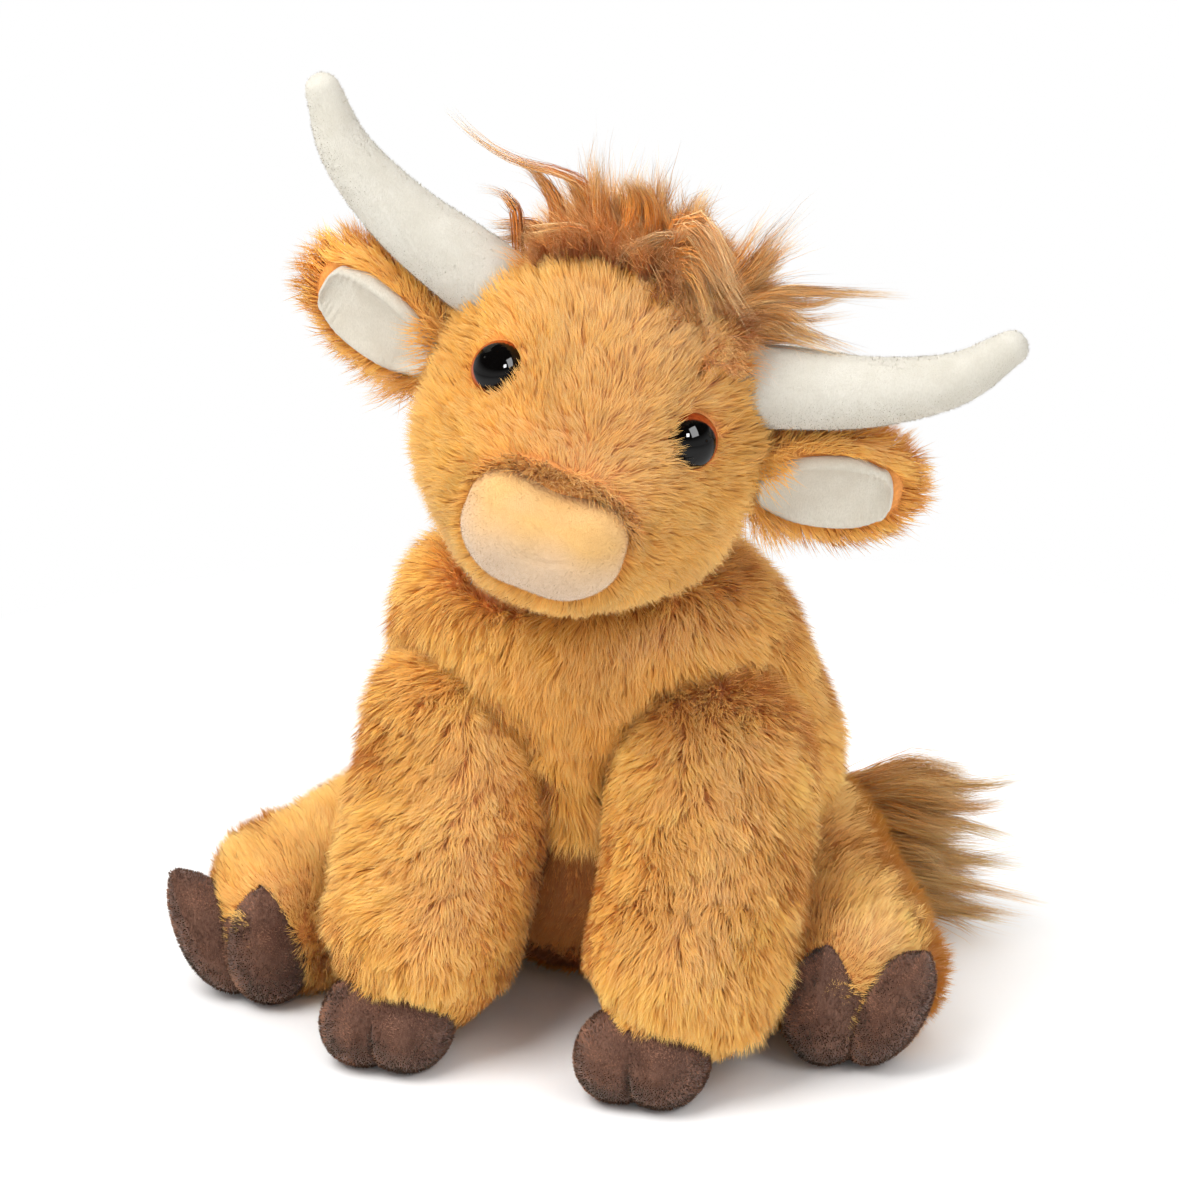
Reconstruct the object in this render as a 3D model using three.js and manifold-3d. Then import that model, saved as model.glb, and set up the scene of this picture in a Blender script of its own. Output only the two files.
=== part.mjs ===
// A stuffed toy highland cow that sits on its seat, in millimetres.
// +Z is up, the toy faces -Y and its own left side is +X.
// The origin is on the floor, under the middle of the seat.
import * as THREE from "three";
import { ConvexGeometry } from "three/addons/geometries/ConvexGeometry.js";
import { mergeVertices } from "three/addons/utils/BufferGeometryUtils.js";
import Module from "manifold-3d";

const wasm = await Module();
wasm.setup();

// Clearances and walls
const gap = 0.35;
const plushWall = 3;
const velourWall = 2;
const flatDepth = 0.5;

// Torso: a pear that leans back from the chest to the seat
const torso = {
  width: 148,
  depth: 114,
  seatHeight: 92,
  chestRise: 122,
  chestLead: 26,
  collarRise: 142,
  collarLead: 40,
  topHeight: 162,
};

// Neck: the short stuffed ball that the head turns and tilts on
const neck = { radius: 29, offset: -2, lead: 46, height: 175 };

// Head, posed as in the photograph: turned to the toy's left and tilted over to that side
const head = {
  width: 97,
  depth: 96,
  height: 88,
  offset: 15,
  lead: 75,
  centreHeight: 218,
  turn: 8,
  tilt: 18.5,
};
const muzzle = { width: 66, height: 54, depth: 56, reach: 37, drop: 20 };
const nosePad = { width: 55, height: 36, depth: 26, reach: 57, drop: 20 };

// Eyes: glossy domes on a post, each held by a washer inside the head
const eye = { radius: 9, height: 7, postRadius: 2.2, postLength: 9, outward: 46, upward: 21 };
const washer = { radius: 7, thickness: 1.2 };

// Horns, ears and forelock
const horn = { rootRadius: 13.5, tipRadius: 5.5, span: 115, rise: 46, rootHeight: 28 };
const ear = { length: 47, width: 37, thickness: 10, rise: 13, sweep: 8, rootHeight: 0, leanDown: 20 };
const lining = { width: 28, thickness: 6, lead: 4.4 };
const forelock = { width: 84, height: 44, depth: 26, crest: 59, setBack: 5 };

// Front legs: they reach forward from the shoulders, each with its own footing
const frontLeg = { radius: 31, ankleRadius: 29, footRadius: 19, shoulderHeight: 98, shoulderLead: 52 };
const frontFoot = { lead: 100, height: 21, ankleLead: 92, ankleHeight: 35 };
const frontHoof = { width: 44, length: 35, height: 29, lead: 109, cleft: 9 };
const leftFront = { shoulder: 46, knee: 49.5, ankle: 48.5, foot: 45, hoof: 42.5 };
const rightFront = { shoulder: 36, knee: 36.5, ankle: 39, foot: 44, hoof: 46 };

// Hind legs: they lie on the floor, splayed out, with the soles to the front
const hindLeg = { hipRadius: 31, kneeRadius: 27, ankleRadius: 25, hip: 55, hipBack: 5, hipHeight: 37 };
const hindHoof = { width: 44, length: 30, height: 42, cleft: 9 };
const leftHind = { spread: 97, lead: 50, hoof: 102, hoofLead: 64 };
const rightHind = { spread: 102, lead: 62, hoof: 110, hoofLead: 76 };

// Tail: a short core with a long tuft, laid round to the toy's left
const tail = { coreRadius: 7, reach: 58, height: 33, offset: 4, curl: 9 };
const tuft = { length: 72, height: 54, thickness: 20 };

// Pouch of beads that weighs the seat down
const pouch = { width: 70, depth: 60, height: 22, clearance: 5 };

// How far each moving part swings, in degrees from this pose
const frontSwing = { from: -35, to: 0 };
const hindSwing = { from: 0, to: 45 };
const swingSteps = 3;

// Fineness of the curved forms
const fine = { ball: 5, sides: 12, rings: 7, caps: 2, hollow: 4 };
const coarse = { ball: 3, sides: 10, rings: 5, caps: 2, hollow: 4 };
const plain = { sides: 8, rings: 3, caps: 1, hollow: 1 };
const ballSides = 16;
const latheSides = 16;
const softness = 5;
const weld = 1e-4;
const searchSteps = 40;

const X = new THREE.Vector3(1, 0, 0);
const Y = new THREE.Vector3(0, 1, 0);
const Z = new THREE.Vector3(0, 0, 1);

const at = (x, y, z) => new THREE.Vector3(x, y, z);
const radians = THREE.MathUtils.degToRad;

// Geometry to solid and back

function solidOf(geometry) {
  const bare = geometry.clone();
  bare.deleteAttribute("normal");
  bare.deleteAttribute("uv");
  const merged = mergeVertices(bare, weld);
  const corners = merged.index.array;
  const kept = [];
  for (let i = 0; i < corners.length; i += 3) {
    const [a, b, c] = [corners[i], corners[i + 1], corners[i + 2]];
    if (a !== b && b !== c && c !== a) kept.push(a, b, c);
  }
  const vertProperties = new Float32Array(merged.attributes.position.array);
  return new wasm.Manifold(new wasm.Mesh({ numProp: 3, vertProperties, triVerts: new Uint32Array(kept) }));
}

function geometryOf(shape) {
  const { vertProperties, triVerts } = shape.getMesh();
  const geometry = new THREE.BufferGeometry();
  geometry.setAttribute("position", new THREE.BufferAttribute(vertProperties, 3));
  geometry.setIndex(new THREE.BufferAttribute(triVerts, 1));
  geometry.computeVertexNormals();
  return geometry;
}

const moved = (shape, matrix) => shape.transform(matrix.elements);

// A ball of facets round a centre
function ball(centre, radius, sides = ballSides) {
  const geometry = new THREE.SphereGeometry(radius, sides, sides / 2);
  return solidOf(geometry.translate(centre.x, centre.y, centre.z));
}

// How much larger a faceted tube is made, so that its flats clear a round piece at any turn
const roundingShare = (sides) => 1 / Math.cos(Math.PI / sides) ** 2;

// Distance from a unit ball's centre to the nearest of its flats
function leastFlat(geometry) {
  const corners = geometry.attributes.position;
  const triangle = new THREE.Triangle();
  const plane = new THREE.Plane();
  let least = 1;
  for (let i = 0; i < corners.count; i += 3) {
    triangle.setFromAttributeAndIndices(corners, i, i + 1, i + 2).getPlane(plane);
    least = Math.min(least, Math.abs(plane.constant));
  }
  return least;
}

// The hollow that a ball turns in, a little larger so that its flats clear the ball
function hollowFor(centre, radius, detail) {
  const geometry = new THREE.IcosahedronGeometry(1, detail);
  const size = radius / leastFlat(geometry);
  return solidOf(geometry.scale(size, size, size).translate(centre.x, centre.y, centre.z));
}

// A block between two corners
function block(low, high) {
  const size = high.clone().sub(low);
  const middle = low.clone().add(high).multiplyScalar(1 / 2);
  return solidOf(new THREE.BoxGeometry(size.x, size.y, size.z).translate(middle.x, middle.y, middle.z));
}

// A round rod from a point along a direction
function rod(start, direction, radius, length) {
  const geometry = new THREE.CylinderGeometry(radius, radius, length, latheSides);
  geometry.rotateX(Math.PI / 2).translate(0, 0, length / 2);
  return moved(solidOf(geometry), facing(start, direction));
}

// The frame whose +Z points along a direction
function facing(origin, direction) {
  const turn = new THREE.Quaternion().setFromUnitVectors(Z, direction.clone().normalize());
  return new THREE.Matrix4().compose(origin, turn, at(1, 1, 1));
}

// Soft forms that bulge round a core

const lobe = (centre, radii) => ({ centre, radii });

function fullness(lobes, point) {
  let sum = 0;
  for (const { centre, radii } of lobes) {
    const q = point.clone().sub(centre).divide(radii);
    sum += Math.exp(softness * (1 - q.lengthSq()));
  }
  return sum;
}

// Distance from the core to the skin along a direction
function reachOf(form, direction) {
  let inside = 0;
  let outside = form.far;
  for (let step = 0; step < searchSteps; step += 1) {
    const middle = (inside + outside) / 2;
    const point = form.core.clone().addScaledVector(direction, middle);
    if (fullness(form.lobes, point) > 1) inside = middle;
    else outside = middle;
  }
  return (inside + outside) / 2;
}

// Which way the skin faces at a point
function skinNormal(form, point) {
  const normal = at(0, 0, 0);
  for (const { centre, radii } of form.lobes) {
    const arm = point.clone().sub(centre).divide(radii);
    const weight = Math.exp(softness * (1 - arm.lengthSq()));
    normal.addScaledVector(arm.divide(radii), weight);
  }
  return normal.normalize();
}

function softSolid(form, detail, inset = 0) {
  const geometry = new THREE.IcosahedronGeometry(1, detail);
  geometry.deleteAttribute("normal");
  geometry.deleteAttribute("uv");
  const skin = mergeVertices(geometry, weld);
  const places = skin.attributes.position;
  for (let i = 0; i < places.count; i += 1) {
    const direction = at(0, 0, 0).fromBufferAttribute(places, i).normalize();
    const reach = reachOf(form, direction) - inset;
    const point = form.core.clone().addScaledVector(direction, reach);
    places.setXYZ(i, point.x, point.y, point.z);
  }
  return solidOf(skin);
}

// Lowest point of a form's skin, found on the facets of its solid
const lowest = (shape) => shape.boundingBox().min[2];

// Tubes that swell and taper along a path, with round ends

function tubeGeometry(tube, grade, inset = 0) {
  const spine = new THREE.CatmullRomCurve3(tube.path);
  const girth = new THREE.SplineCurve(tube.radii.map((radius, i) => new THREE.Vector2(i, radius)));
  const flat = tube.flat ?? 1;
  const blunt = tube.blunt ?? 1;
  const rootBlunt = tube.rootBlunt ?? blunt;
  const sections = [];
  const addSection = (t, push, share) => {
    const tangent = spine.getTangent(t);
    const radius = girth.getPoint(t).y;
    const side = tangent.clone().cross(tube.lift).normalize();
    const up = side.clone().cross(tangent).normalize();
    const bulge = push * (radius - inset) * (t === 0 ? rootBlunt : blunt);
    const centre = spine.getPoint(t).addScaledVector(tangent, bulge);
    sections.push({ centre, side, up, width: (radius - inset) * share, depth: (radius * flat - inset) * share });
  };
  const capAngle = (k) => (k / (grade.caps + 1)) * (Math.PI / 2);
  for (let k = grade.caps; k > 0; k -= 1) addSection(0, -Math.sin(capAngle(k)), Math.cos(capAngle(k)));
  for (let i = 0; i <= grade.rings; i += 1) addSection(i / grade.rings, 0, 1);
  for (let k = 1; k <= grade.caps; k += 1) addSection(1, Math.sin(capAngle(k)), Math.cos(capAngle(k)));
  const pole = (t, push) => {
    const reach = push * (girth.getPoint(t).y - inset) * (t === 0 ? rootBlunt : blunt);
    return spine.getPoint(t).addScaledVector(spine.getTangent(t), reach);
  };
  return closeRings(sections, pole(0, -1), pole(1, 1), grade.sides);
}

// Rings of points joined side by side, with a point at each end
function closeRings(sections, first, last, sides) {
  const points = [];
  for (const { centre, side, up, width, depth } of sections) {
    for (let j = 0; j < sides; j += 1) {
      const angle = (j / sides) * 2 * Math.PI;
      const point = centre.clone().addScaledVector(side, Math.cos(angle) * width);
      points.push(point.addScaledVector(up, Math.sin(angle) * depth));
    }
  }
  const start = points.push(first) - 1;
  const end = points.push(last) - 1;
  const corner = (ring, j) => ring * sides + (j % sides);
  const faces = [];
  for (let j = 0; j < sides; j += 1) {
    faces.push(start, corner(0, j), corner(0, j + 1));
    for (let ring = 0; ring + 1 < sections.length; ring += 1) {
      faces.push(corner(ring, j), corner(ring + 1, j), corner(ring, j + 1));
      faces.push(corner(ring, j + 1), corner(ring + 1, j), corner(ring + 1, j + 1));
    }
    faces.push(end, corner(sections.length - 1, j + 1), corner(sections.length - 1, j));
  }
  const geometry = new THREE.BufferGeometry().setFromPoints(points);
  geometry.setIndex(faces);
  return geometry;
}

const tubeSolid = (tube, grade, inset = 0) => solidOf(tubeGeometry(tube, grade, inset));

// The space that a tube passes through as it swings about its first point, with some room round it
function swungSpace(tube, grade, axis, swing, room) {
  const pivot = tube.path[0];
  const share = roundingShare(grade.sides);
  const wide = { ...tube, radii: tube.radii.map((radius) => (radius + room) * share) };
  const corners = tubeGeometry(wide, grade).attributes.position;
  const points = [];
  for (let step = 0; step <= swingSteps; step += 1) {
    const angle = radians(THREE.MathUtils.lerp(swing.from, swing.to, step / swingSteps));
    for (let i = 0; i < corners.count; i += 1) {
      const arm = at(0, 0, 0).fromBufferAttribute(corners, i).sub(pivot);
      points.push(arm.applyAxisAngle(axis, angle).add(pivot));
    }
  }
  return solidOf(new ConvexGeometry(points));
}

// Everything under the floor, and everything above a height
const roomy = torso.width * 2;
const underFloor = block(at(-roomy, -roomy, -roomy), at(roomy, roomy, 0));
const above = (height) => block(at(-roomy, -roomy, height), at(roomy, roomy, height + roomy));

// Materials

const cloth = (color, roughness) => new THREE.MeshStandardMaterial({ color, roughness, metalness: 0 });
const materials = {
  plush: () => cloth(0xd9984a, 0.95),
  longHair: () => cloth(0xb06a32, 0.95),
  hoof: () => cloth(0x4f3a33, 0.9),
  cream: () => cloth(0xe9e6da, 0.9),
  peach: () => cloth(0xf3cba0, 0.9),
  eye: () => cloth(0x100b09, 0.12),
  washer: () => cloth(0xd8d8d4, 0.5),
  stuffing: () => cloth(0xf4f2ee, 1),
  pouch: () => cloth(0xe3ddd0, 0.95),
};

function piece(name, shape, material) {
  const mesh = new THREE.Mesh(geometryOf(shape), material);
  mesh.name = name;
  return mesh;
}

// Torso form: seat, belly and chest

function torsoForm() {
  const half = at(torso.width / 2, torso.depth / 2, torso.seatHeight / 2);
  const bellyLeadShare = 0.2;
  const bellyShares = at(0.99, 0.98, 1.05);
  const chestShares = at(0.91, 0.9, 0.98);
  const collarShares = at(0.76, 0.76, 0.74);
  const level = (lead, rise, shares) => lobe(at(0, -lead, rise), half.clone().multiply(shares));
  const lobes = [
    level(0, half.z, at(1, 1, 1)),
    level(torso.chestLead * bellyLeadShare, (half.z + torso.chestRise) / 2, bellyShares),
    level(torso.chestLead, torso.chestRise, chestShares),
    level(torso.collarLead, torso.collarRise, collarShares),
  ];
  const core = at(0, -torso.chestLead / 2, torso.chestRise / 2);
  const form = { lobes, core, far: torso.seatHeight * 2 };
  const drop = at(0, 0, lowest(softSolid(form, fine.ball)) + flatDepth);
  for (const { centre } of form.lobes) centre.sub(drop);
  core.sub(drop);
  return form;
}

// Front leg: from the shoulder down to the foot
function frontLegTube(place, mirror) {
  const kneeShare = 0.44;
  const kneeSizeShare = 0.97;
  const knee = at(
    mirror * place.knee,
    -THREE.MathUtils.lerp(frontLeg.shoulderLead, frontFoot.lead, kneeShare),
    THREE.MathUtils.lerp(frontLeg.shoulderHeight, frontFoot.height, kneeShare),
  );
  return {
    path: [
      at(mirror * place.shoulder, -frontLeg.shoulderLead, frontLeg.shoulderHeight),
      knee,
      at(mirror * place.ankle, -frontFoot.ankleLead, frontFoot.ankleHeight),
      at(mirror * place.foot, -frontFoot.lead, frontFoot.height),
    ],
    radii: [frontLeg.radius, frontLeg.radius * kneeSizeShare, frontLeg.ankleRadius, frontLeg.footRadius],
    lift: Y,
  };
}

// Hind leg: from the hip forward and out along the floor
function hindLegTube(place, mirror) {
  const ankleHeight = hindLeg.ankleRadius - flatDepth;
  const soleBluntShare = 0.9;
  return {
    path: [
      at(mirror * hindLeg.hip, hindLeg.hipBack, hindLeg.hipHeight),
      at(
        (mirror * (hindLeg.hip + place.spread)) / 2,
        (hindLeg.hipBack - place.lead) / 2,
        (hindLeg.hipHeight + ankleHeight) / 2,
      ),
      at(mirror * place.spread, -place.lead, ankleHeight),
    ],
    radii: [hindLeg.hipRadius, hindLeg.kneeRadius, hindLeg.ankleRadius],
    lift: Z,
    rootBlunt: 1,
    blunt: soleBluntShare,
  };
}

const legs = [
  { name: "front_leg_left", tube: frontLegTube(leftFront, 1), axis: X, swing: frontSwing },
  { name: "front_leg_right", tube: frontLegTube(rightFront, -1), axis: X, swing: frontSwing },
  { name: "hind_leg_left", tube: hindLegTube(leftHind, 1), axis: Z, swing: hindSwing },
  {
    name: "hind_leg_right",
    tube: hindLegTube(rightHind, -1),
    axis: Z,
    swing: { from: -hindSwing.to, to: -hindSwing.from },
  },
];

// The room that a leg needs: a ball at its root and the fan that the rest swings through
function legSpace(leg, grade, room) {
  const fan = swungSpace({ ...leg.tube, rootBlunt: 0 }, grade, leg.axis, leg.swing, room);
  return fan.add(hollowFor(leg.tube.path[0], leg.tube.radii[0] + room, grade.hollow));
}

// A leg's cloth with the open mouth that it is stuffed through, and the stuffing in it
function legPieces(leg) {
  const { path, radii } = leg.tube;
  const mouthShare = 0.4;
  const inward = path[0].clone().sub(path[1]).normalize();
  const mouth = ball(path[0].clone().addScaledVector(inward, radii[0]), radii[0] * mouthShare, coarse.sides);
  const cloth = tubeSolid(leg.tube, fine).subtract(tubeSolid(leg.tube, coarse, plushWall)).subtract(mouth);
  const filling = tubeSolid(leg.tube, coarse, plushWall + gap).subtract(mouth);
  return [
    piece(leg.name, cloth.subtract(underFloor), materials.plush()),
    piece(leg.name.replace("leg", "leg_stuffing"), filling, materials.stuffing()),
  ];
}

function torsoPieces(neckCentre) {
  const form = torsoForm();
  const spaces = (grade, room) => legs.map((leg) => legSpace(leg, grade, room));
  const carve = (shape, cuts) => cuts.reduce((rest, cut) => rest.subtract(cut), shape);
  const hollow = carve(softSolid(form, coarse.ball, plushWall), [
    ...spaces(plain, gap + plushWall),
    above(torso.topHeight - plushWall),
    block(at(-roomy, -roomy, -roomy), at(roomy, roomy, plushWall)),
  ]);
  const skin = carve(softSolid(form, fine.ball), [
    ...spaces(coarse, gap),
    above(torso.topHeight),
    hollow,
    hollowFor(neckCentre, neck.radius + gap, fine.hollow),
    underFloor,
  ]);
  const pouchHeight = plushWall + pouch.clearance + pouch.height / 2;
  const beads = new THREE.SphereGeometry(1 / 2, ballSides, ballSides / 2).rotateX(Math.PI / 2);
  const pouchOf = (room) =>
    solidOf(
      beads
        .clone()
        .scale(pouch.width + 2 * room, pouch.depth + 2 * room, pouch.height + 2 * room)
        .translate(0, 0, pouchHeight),
    );
  const inside = carve(softSolid(form, coarse.ball, plushWall + gap), [
    ...spaces(plain, gap + plushWall + gap),
    above(torso.topHeight - plushWall - gap),
    block(at(-roomy, -roomy, -roomy), at(roomy, roomy, plushWall + gap)),
    hollowFor(neckCentre, neck.radius + 2 * gap, plain.hollow),
  ]);
  return [
    piece("torso", skin, materials.plush()),
    piece("torso_stuffing", inside.subtract(pouchOf(gap)), materials.stuffing()),
    piece("seat_pouch", inside.intersect(pouchOf(0)), materials.pouch()),
  ];
}

// Hooves: velour caps with a cleft between two toes

function hoofForm(size, centre) {
  const toe = (side) => at(side * size.cleft, 0, 0).add(centre);
  const radii = at(size.width / 2 - size.cleft, size.length / 2, size.height / 2);
  return { lobes: [lobe(toe(-1), radii), lobe(toe(1), radii)], core: centre, far: size.width };
}

function hoofPiece(leg, size, centre) {
  const form = hoofForm(size, centre);
  const drop = lowest(softSolid(form, coarse.ball)) + flatDepth;
  const cap = softSolid(form, coarse.ball).translate([0, 0, -drop]);
  const shape = cap.subtract(tubeSolid(leg.tube, fine, -gap)).subtract(underFloor);
  return piece(leg.name.replace("leg", "hoof"), shape, materials.hoof());
}

function hoofPieces() {
  const frontHeight = frontHoof.height / 2;
  const hindHeight = hindHoof.height / 2;
  return [
    hoofPiece(legs[0], frontHoof, at(leftFront.hoof, -frontHoof.lead, frontHeight)),
    hoofPiece(legs[1], frontHoof, at(-rightFront.hoof, -frontHoof.lead, frontHeight)),
    hoofPiece(legs[2], hindHoof, at(leftHind.hoof, -leftHind.hoofLead, hindHeight)),
    hoofPiece(legs[3], hindHoof, at(-rightHind.hoof, -rightHind.hoofLead, hindHeight)),
  ];
}

// Head, in its own frame: the face looks along -Y and +Z is its crown

const headCentre = at(head.offset, -head.lead, head.centreHeight);
const headTurn = new THREE.Euler(0, radians(head.tilt), radians(head.turn), "ZYX");
const headFrame = new THREE.Matrix4().makeRotationFromEuler(headTurn).setPosition(headCentre);
const neckCentre = at(neck.offset, -neck.lead, neck.height);
const neckInHead = neckCentre.clone().applyMatrix4(headFrame.clone().invert());

function headForm() {
  const half = at(head.width / 2, head.depth / 2, head.height / 2);
  const cheekShares = at(0.94, 0.84, 0.8);
  const cheekDropShare = 0.3;
  const cheekLeadShare = 0.24;
  const muzzleHalf = at(muzzle.width / 2, muzzle.depth / 2, muzzle.height / 2);
  const lobes = [
    lobe(at(0, 0, 0), half),
    lobe(at(0, -half.y * cheekLeadShare, -half.z * cheekDropShare), half.clone().multiply(cheekShares)),
    lobe(at(0, -muzzle.reach, -muzzle.drop), muzzleHalf),
  ];
  return { lobes, core: at(0, 0, 0), far: head.width };
}

const headShape = headForm();

function eyeDirection(mirror) {
  const out = radians(eye.outward);
  const up = radians(eye.upward);
  return at(mirror * Math.sin(out) * Math.cos(up), -Math.cos(out) * Math.cos(up), Math.sin(up));
}

// Where an eye's flat back sits, and where its washer sits inside the cloth
function eyeSeats(mirror) {
  const outward = eyeDirection(mirror);
  const spot = outward.clone().multiplyScalar(reachOf(headShape, outward));
  const direction = skinNormal(headShape, spot);
  const washerSag = washer.radius ** 2 / head.width;
  const washerDepth = plushWall + washerSag + 2 * gap + washer.thickness;
  return {
    direction,
    back: spot.clone().addScaledVector(direction, gap),
    washer: spot.clone().addScaledVector(direction, -washerDepth),
  };
}

function eyePieces(mirror, side) {
  const seats = eyeSeats(mirror);
  const outline = [new THREE.Vector2(0, -eye.postLength), new THREE.Vector2(eye.postRadius, -eye.postLength)];
  outline.push(new THREE.Vector2(eye.postRadius, 0));
  const domeSteps = 6;
  for (let step = 0; step <= domeSteps; step += 1) {
    const angle = (step / domeSteps) * (Math.PI / 2);
    const height = step === 0 ? 0 : eye.height * Math.sin(angle);
    const radius = step === domeSteps ? 0 : eye.radius * Math.cos(angle);
    outline.push(new THREE.Vector2(radius, height));
  }
  const dome = new THREE.LatheGeometry(outline, latheSides).rotateX(Math.PI / 2);
  const ring = new THREE.CylinderGeometry(washer.radius, washer.radius, washer.thickness, latheSides);
  ring.rotateX(Math.PI / 2).translate(0, 0, washer.thickness / 2);
  const boreStart = seats.washer.clone().addScaledVector(seats.direction, -eye.radius);
  const bore = rod(boreStart, seats.direction, eye.postRadius + gap, head.width);
  const ringSolid = moved(solidOf(ring), facing(seats.washer, seats.direction)).subtract(bore);
  return [
    piece(`eye_${side}`, moved(solidOf(dome), facing(seats.back, seats.direction)), materials.eye()),
    piece(`eye_washer_${side}`, ringSolid, materials.washer()),
  ];
}

function hornTube(mirror) {
  const spanShares = [0.3, 0.47, 0.69, 0.885, 1];
  const riseShares = [0, 0.14, 0.34, 0.64, 1];
  const forwardShares = [0, 0.02, 0.06, 0.1, 0.12];
  const radiusShares = [1, 0.96, 0.7, 0.36, 0];
  return {
    path: spanShares.map((share, i) =>
      at(
        mirror * horn.span * share,
        -horn.rise * forwardShares[i],
        horn.rootHeight + horn.rise * riseShares[i],
      ),
    ),
    radii: radiusShares.map((share) => THREE.MathUtils.lerp(horn.tipRadius, horn.rootRadius, share)),
    lift: Y,
  };
}

function hornPieces(mirror, side) {
  const tube = hornTube(mirror);
  const body = softSolid(headShape, fine.ball, -gap);
  const hollow = tubeSolid(tube, coarse, velourWall);
  const cloth = tubeSolid(tube, fine).subtract(hollow).subtract(body);
  const filling = tubeSolid(tube, coarse, velourWall + gap).subtract(softSolid(headShape, fine.ball, -2 * gap));
  return [
    piece(`horn_${side}`, cloth, materials.cream()),
    piece(`horn_stuffing_${side}`, filling, materials.stuffing()),
  ];
}

// Ears: a plush back with a velour lining, hinged where they are sewn to the head

function earPivot(mirror) {
  const direction = at(mirror * head.width, ear.sweep, ear.rootHeight * 2).normalize();
  const reach = reachOf(headShape, direction);
  return direction.multiplyScalar(reach + ear.thickness / 2 + gap);
}

function earTube(mirror) {
  const root = earPivot(mirror);
  const reachShares = [0, 0.3, 0.65, 0.86];
  const widthShares = [0.62, 0.95, 1, 0.72];
  const endShare = 0.4;
  return {
    path: reachShares.map((share) =>
      root.clone().add(at(mirror * ear.length * share, ear.sweep * share, ear.rise * share)),
    ),
    radii: widthShares.map((share) => (share * ear.width) / 2),
    flat: ear.thickness / ear.width,
    lift: at(0, -Math.cos(radians(ear.leanDown)), -Math.sin(radians(ear.leanDown))),
    blunt: endShare,
  };
}

function earPieces(mirror, side) {
  const tube = earTube(mirror);
  const back = tubeSolid(tube, coarse);
  const facingOut = tube.lift.clone().multiplyScalar(lining.lead);
  const insetShare = 0.14;
  const inner = {
    ...tube,
    path: tube.path.map((point, i) => point.clone().lerp(tube.path[2], i === 2 ? 0 : insetShare).add(facingOut)),
    radii: tube.radii.map((radius) => (radius * lining.width) / ear.width),
    flat: lining.thickness / lining.width,
  };
  const front = tubeSolid(inner, coarse).subtract(tubeSolid(tube, coarse, -gap));
  return [piece(`ear_${side}`, back, materials.plush()), piece(`ear_lining_${side}`, front, materials.cream())];
}

// The tuft of long hair sewn along the crown
function forelockPiece() {
  const reachShares = [-0.5, -0.2, 0.16, 0.54];
  const dropShares = [0.2, 0, 0, 0.2];
  const sizeShares = [0.62, 1, 1, 0.7];
  const endShare = 0.6;
  const tube = {
    path: reachShares.map((share, i) =>
      at(forelock.width * share, forelock.setBack, forelock.crest - forelock.height * dropShares[i]),
    ),
    radii: sizeShares.map((share) => (share * forelock.height) / 2),
    flat: forelock.depth / forelock.height,
    lift: Y,
    blunt: endShare,
  };
  const horns = [1, -1].map((mirror) => tubeSolid(hornTube(mirror), fine, -gap));
  const crown = softSolid(headShape, fine.ball, -gap);
  const hair = tubeSolid(tube, fine).subtract(crown).subtract(horns[0]).subtract(horns[1]);
  return piece("forelock", hair, materials.longHair());
}

function nosePadPiece() {
  const centre = at(0, -nosePad.reach, -nosePad.drop);
  const sideShare = 0.26;
  const sideSizeShare = 0.72;
  const half = at(nosePad.width / 2, nosePad.depth / 2, nosePad.height / 2);
  const side = (mirror) =>
    lobe(
      centre.clone().add(at(mirror * half.x * sideShare, 0, 0)),
      at(half.x * sideSizeShare, half.y, half.z),
    );
  const form = { lobes: [side(-1), side(1)], core: centre, far: nosePad.width };
  const pad = softSolid(form, coarse.ball).subtract(softSolid(headShape, fine.ball, -gap));
  return piece("nose_pad", pad, materials.peach());
}

function headPieces() {
  const sides = [
    [1, "left"],
    [-1, "right"],
  ];
  const socket = hollowFor(neckInHead, neck.radius + gap, fine.hollow);
  let skin = softSolid(headShape, fine.ball).subtract(softSolid(headShape, coarse.ball, plushWall)).subtract(socket);
  let filling = softSolid(headShape, coarse.ball, plushWall + gap);
  filling = filling.subtract(hollowFor(neckInHead, neck.radius + 2 * gap, plain.hollow));
  for (const [mirror] of sides) {
    const seats = eyeSeats(mirror);
    const start = seats.back.clone().addScaledVector(seats.direction, -eye.postLength - gap);
    const washerBack = seats.washer.clone().addScaledVector(seats.direction, -gap);
    skin = skin.subtract(rod(start, seats.direction, eye.postRadius + gap, head.width));
    filling = filling.subtract(rod(start, seats.direction, eye.postRadius + gap, head.width));
    filling = filling.subtract(rod(washerBack, seats.direction, washer.radius + gap, head.width));
  }
  const pieces = [piece("head", skin, materials.plush()), piece("head_stuffing", filling, materials.stuffing())];
  pieces.push(nosePadPiece(), forelockPiece());
  for (const [mirror, side] of sides) {
    pieces.push(...eyePieces(mirror, side), ...hornPieces(mirror, side), ...earPieces(mirror, side));
  }
  return pieces;
}

// Tail, seated against the back of the torso

function tailPivot() {
  const level = at(tail.offset, 0, tail.height);
  const reach = reachOf({ ...torsoForm(), core: level }, Y);
  return level.addScaledVector(Y, reach + tail.coreRadius + gap);
}

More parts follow.
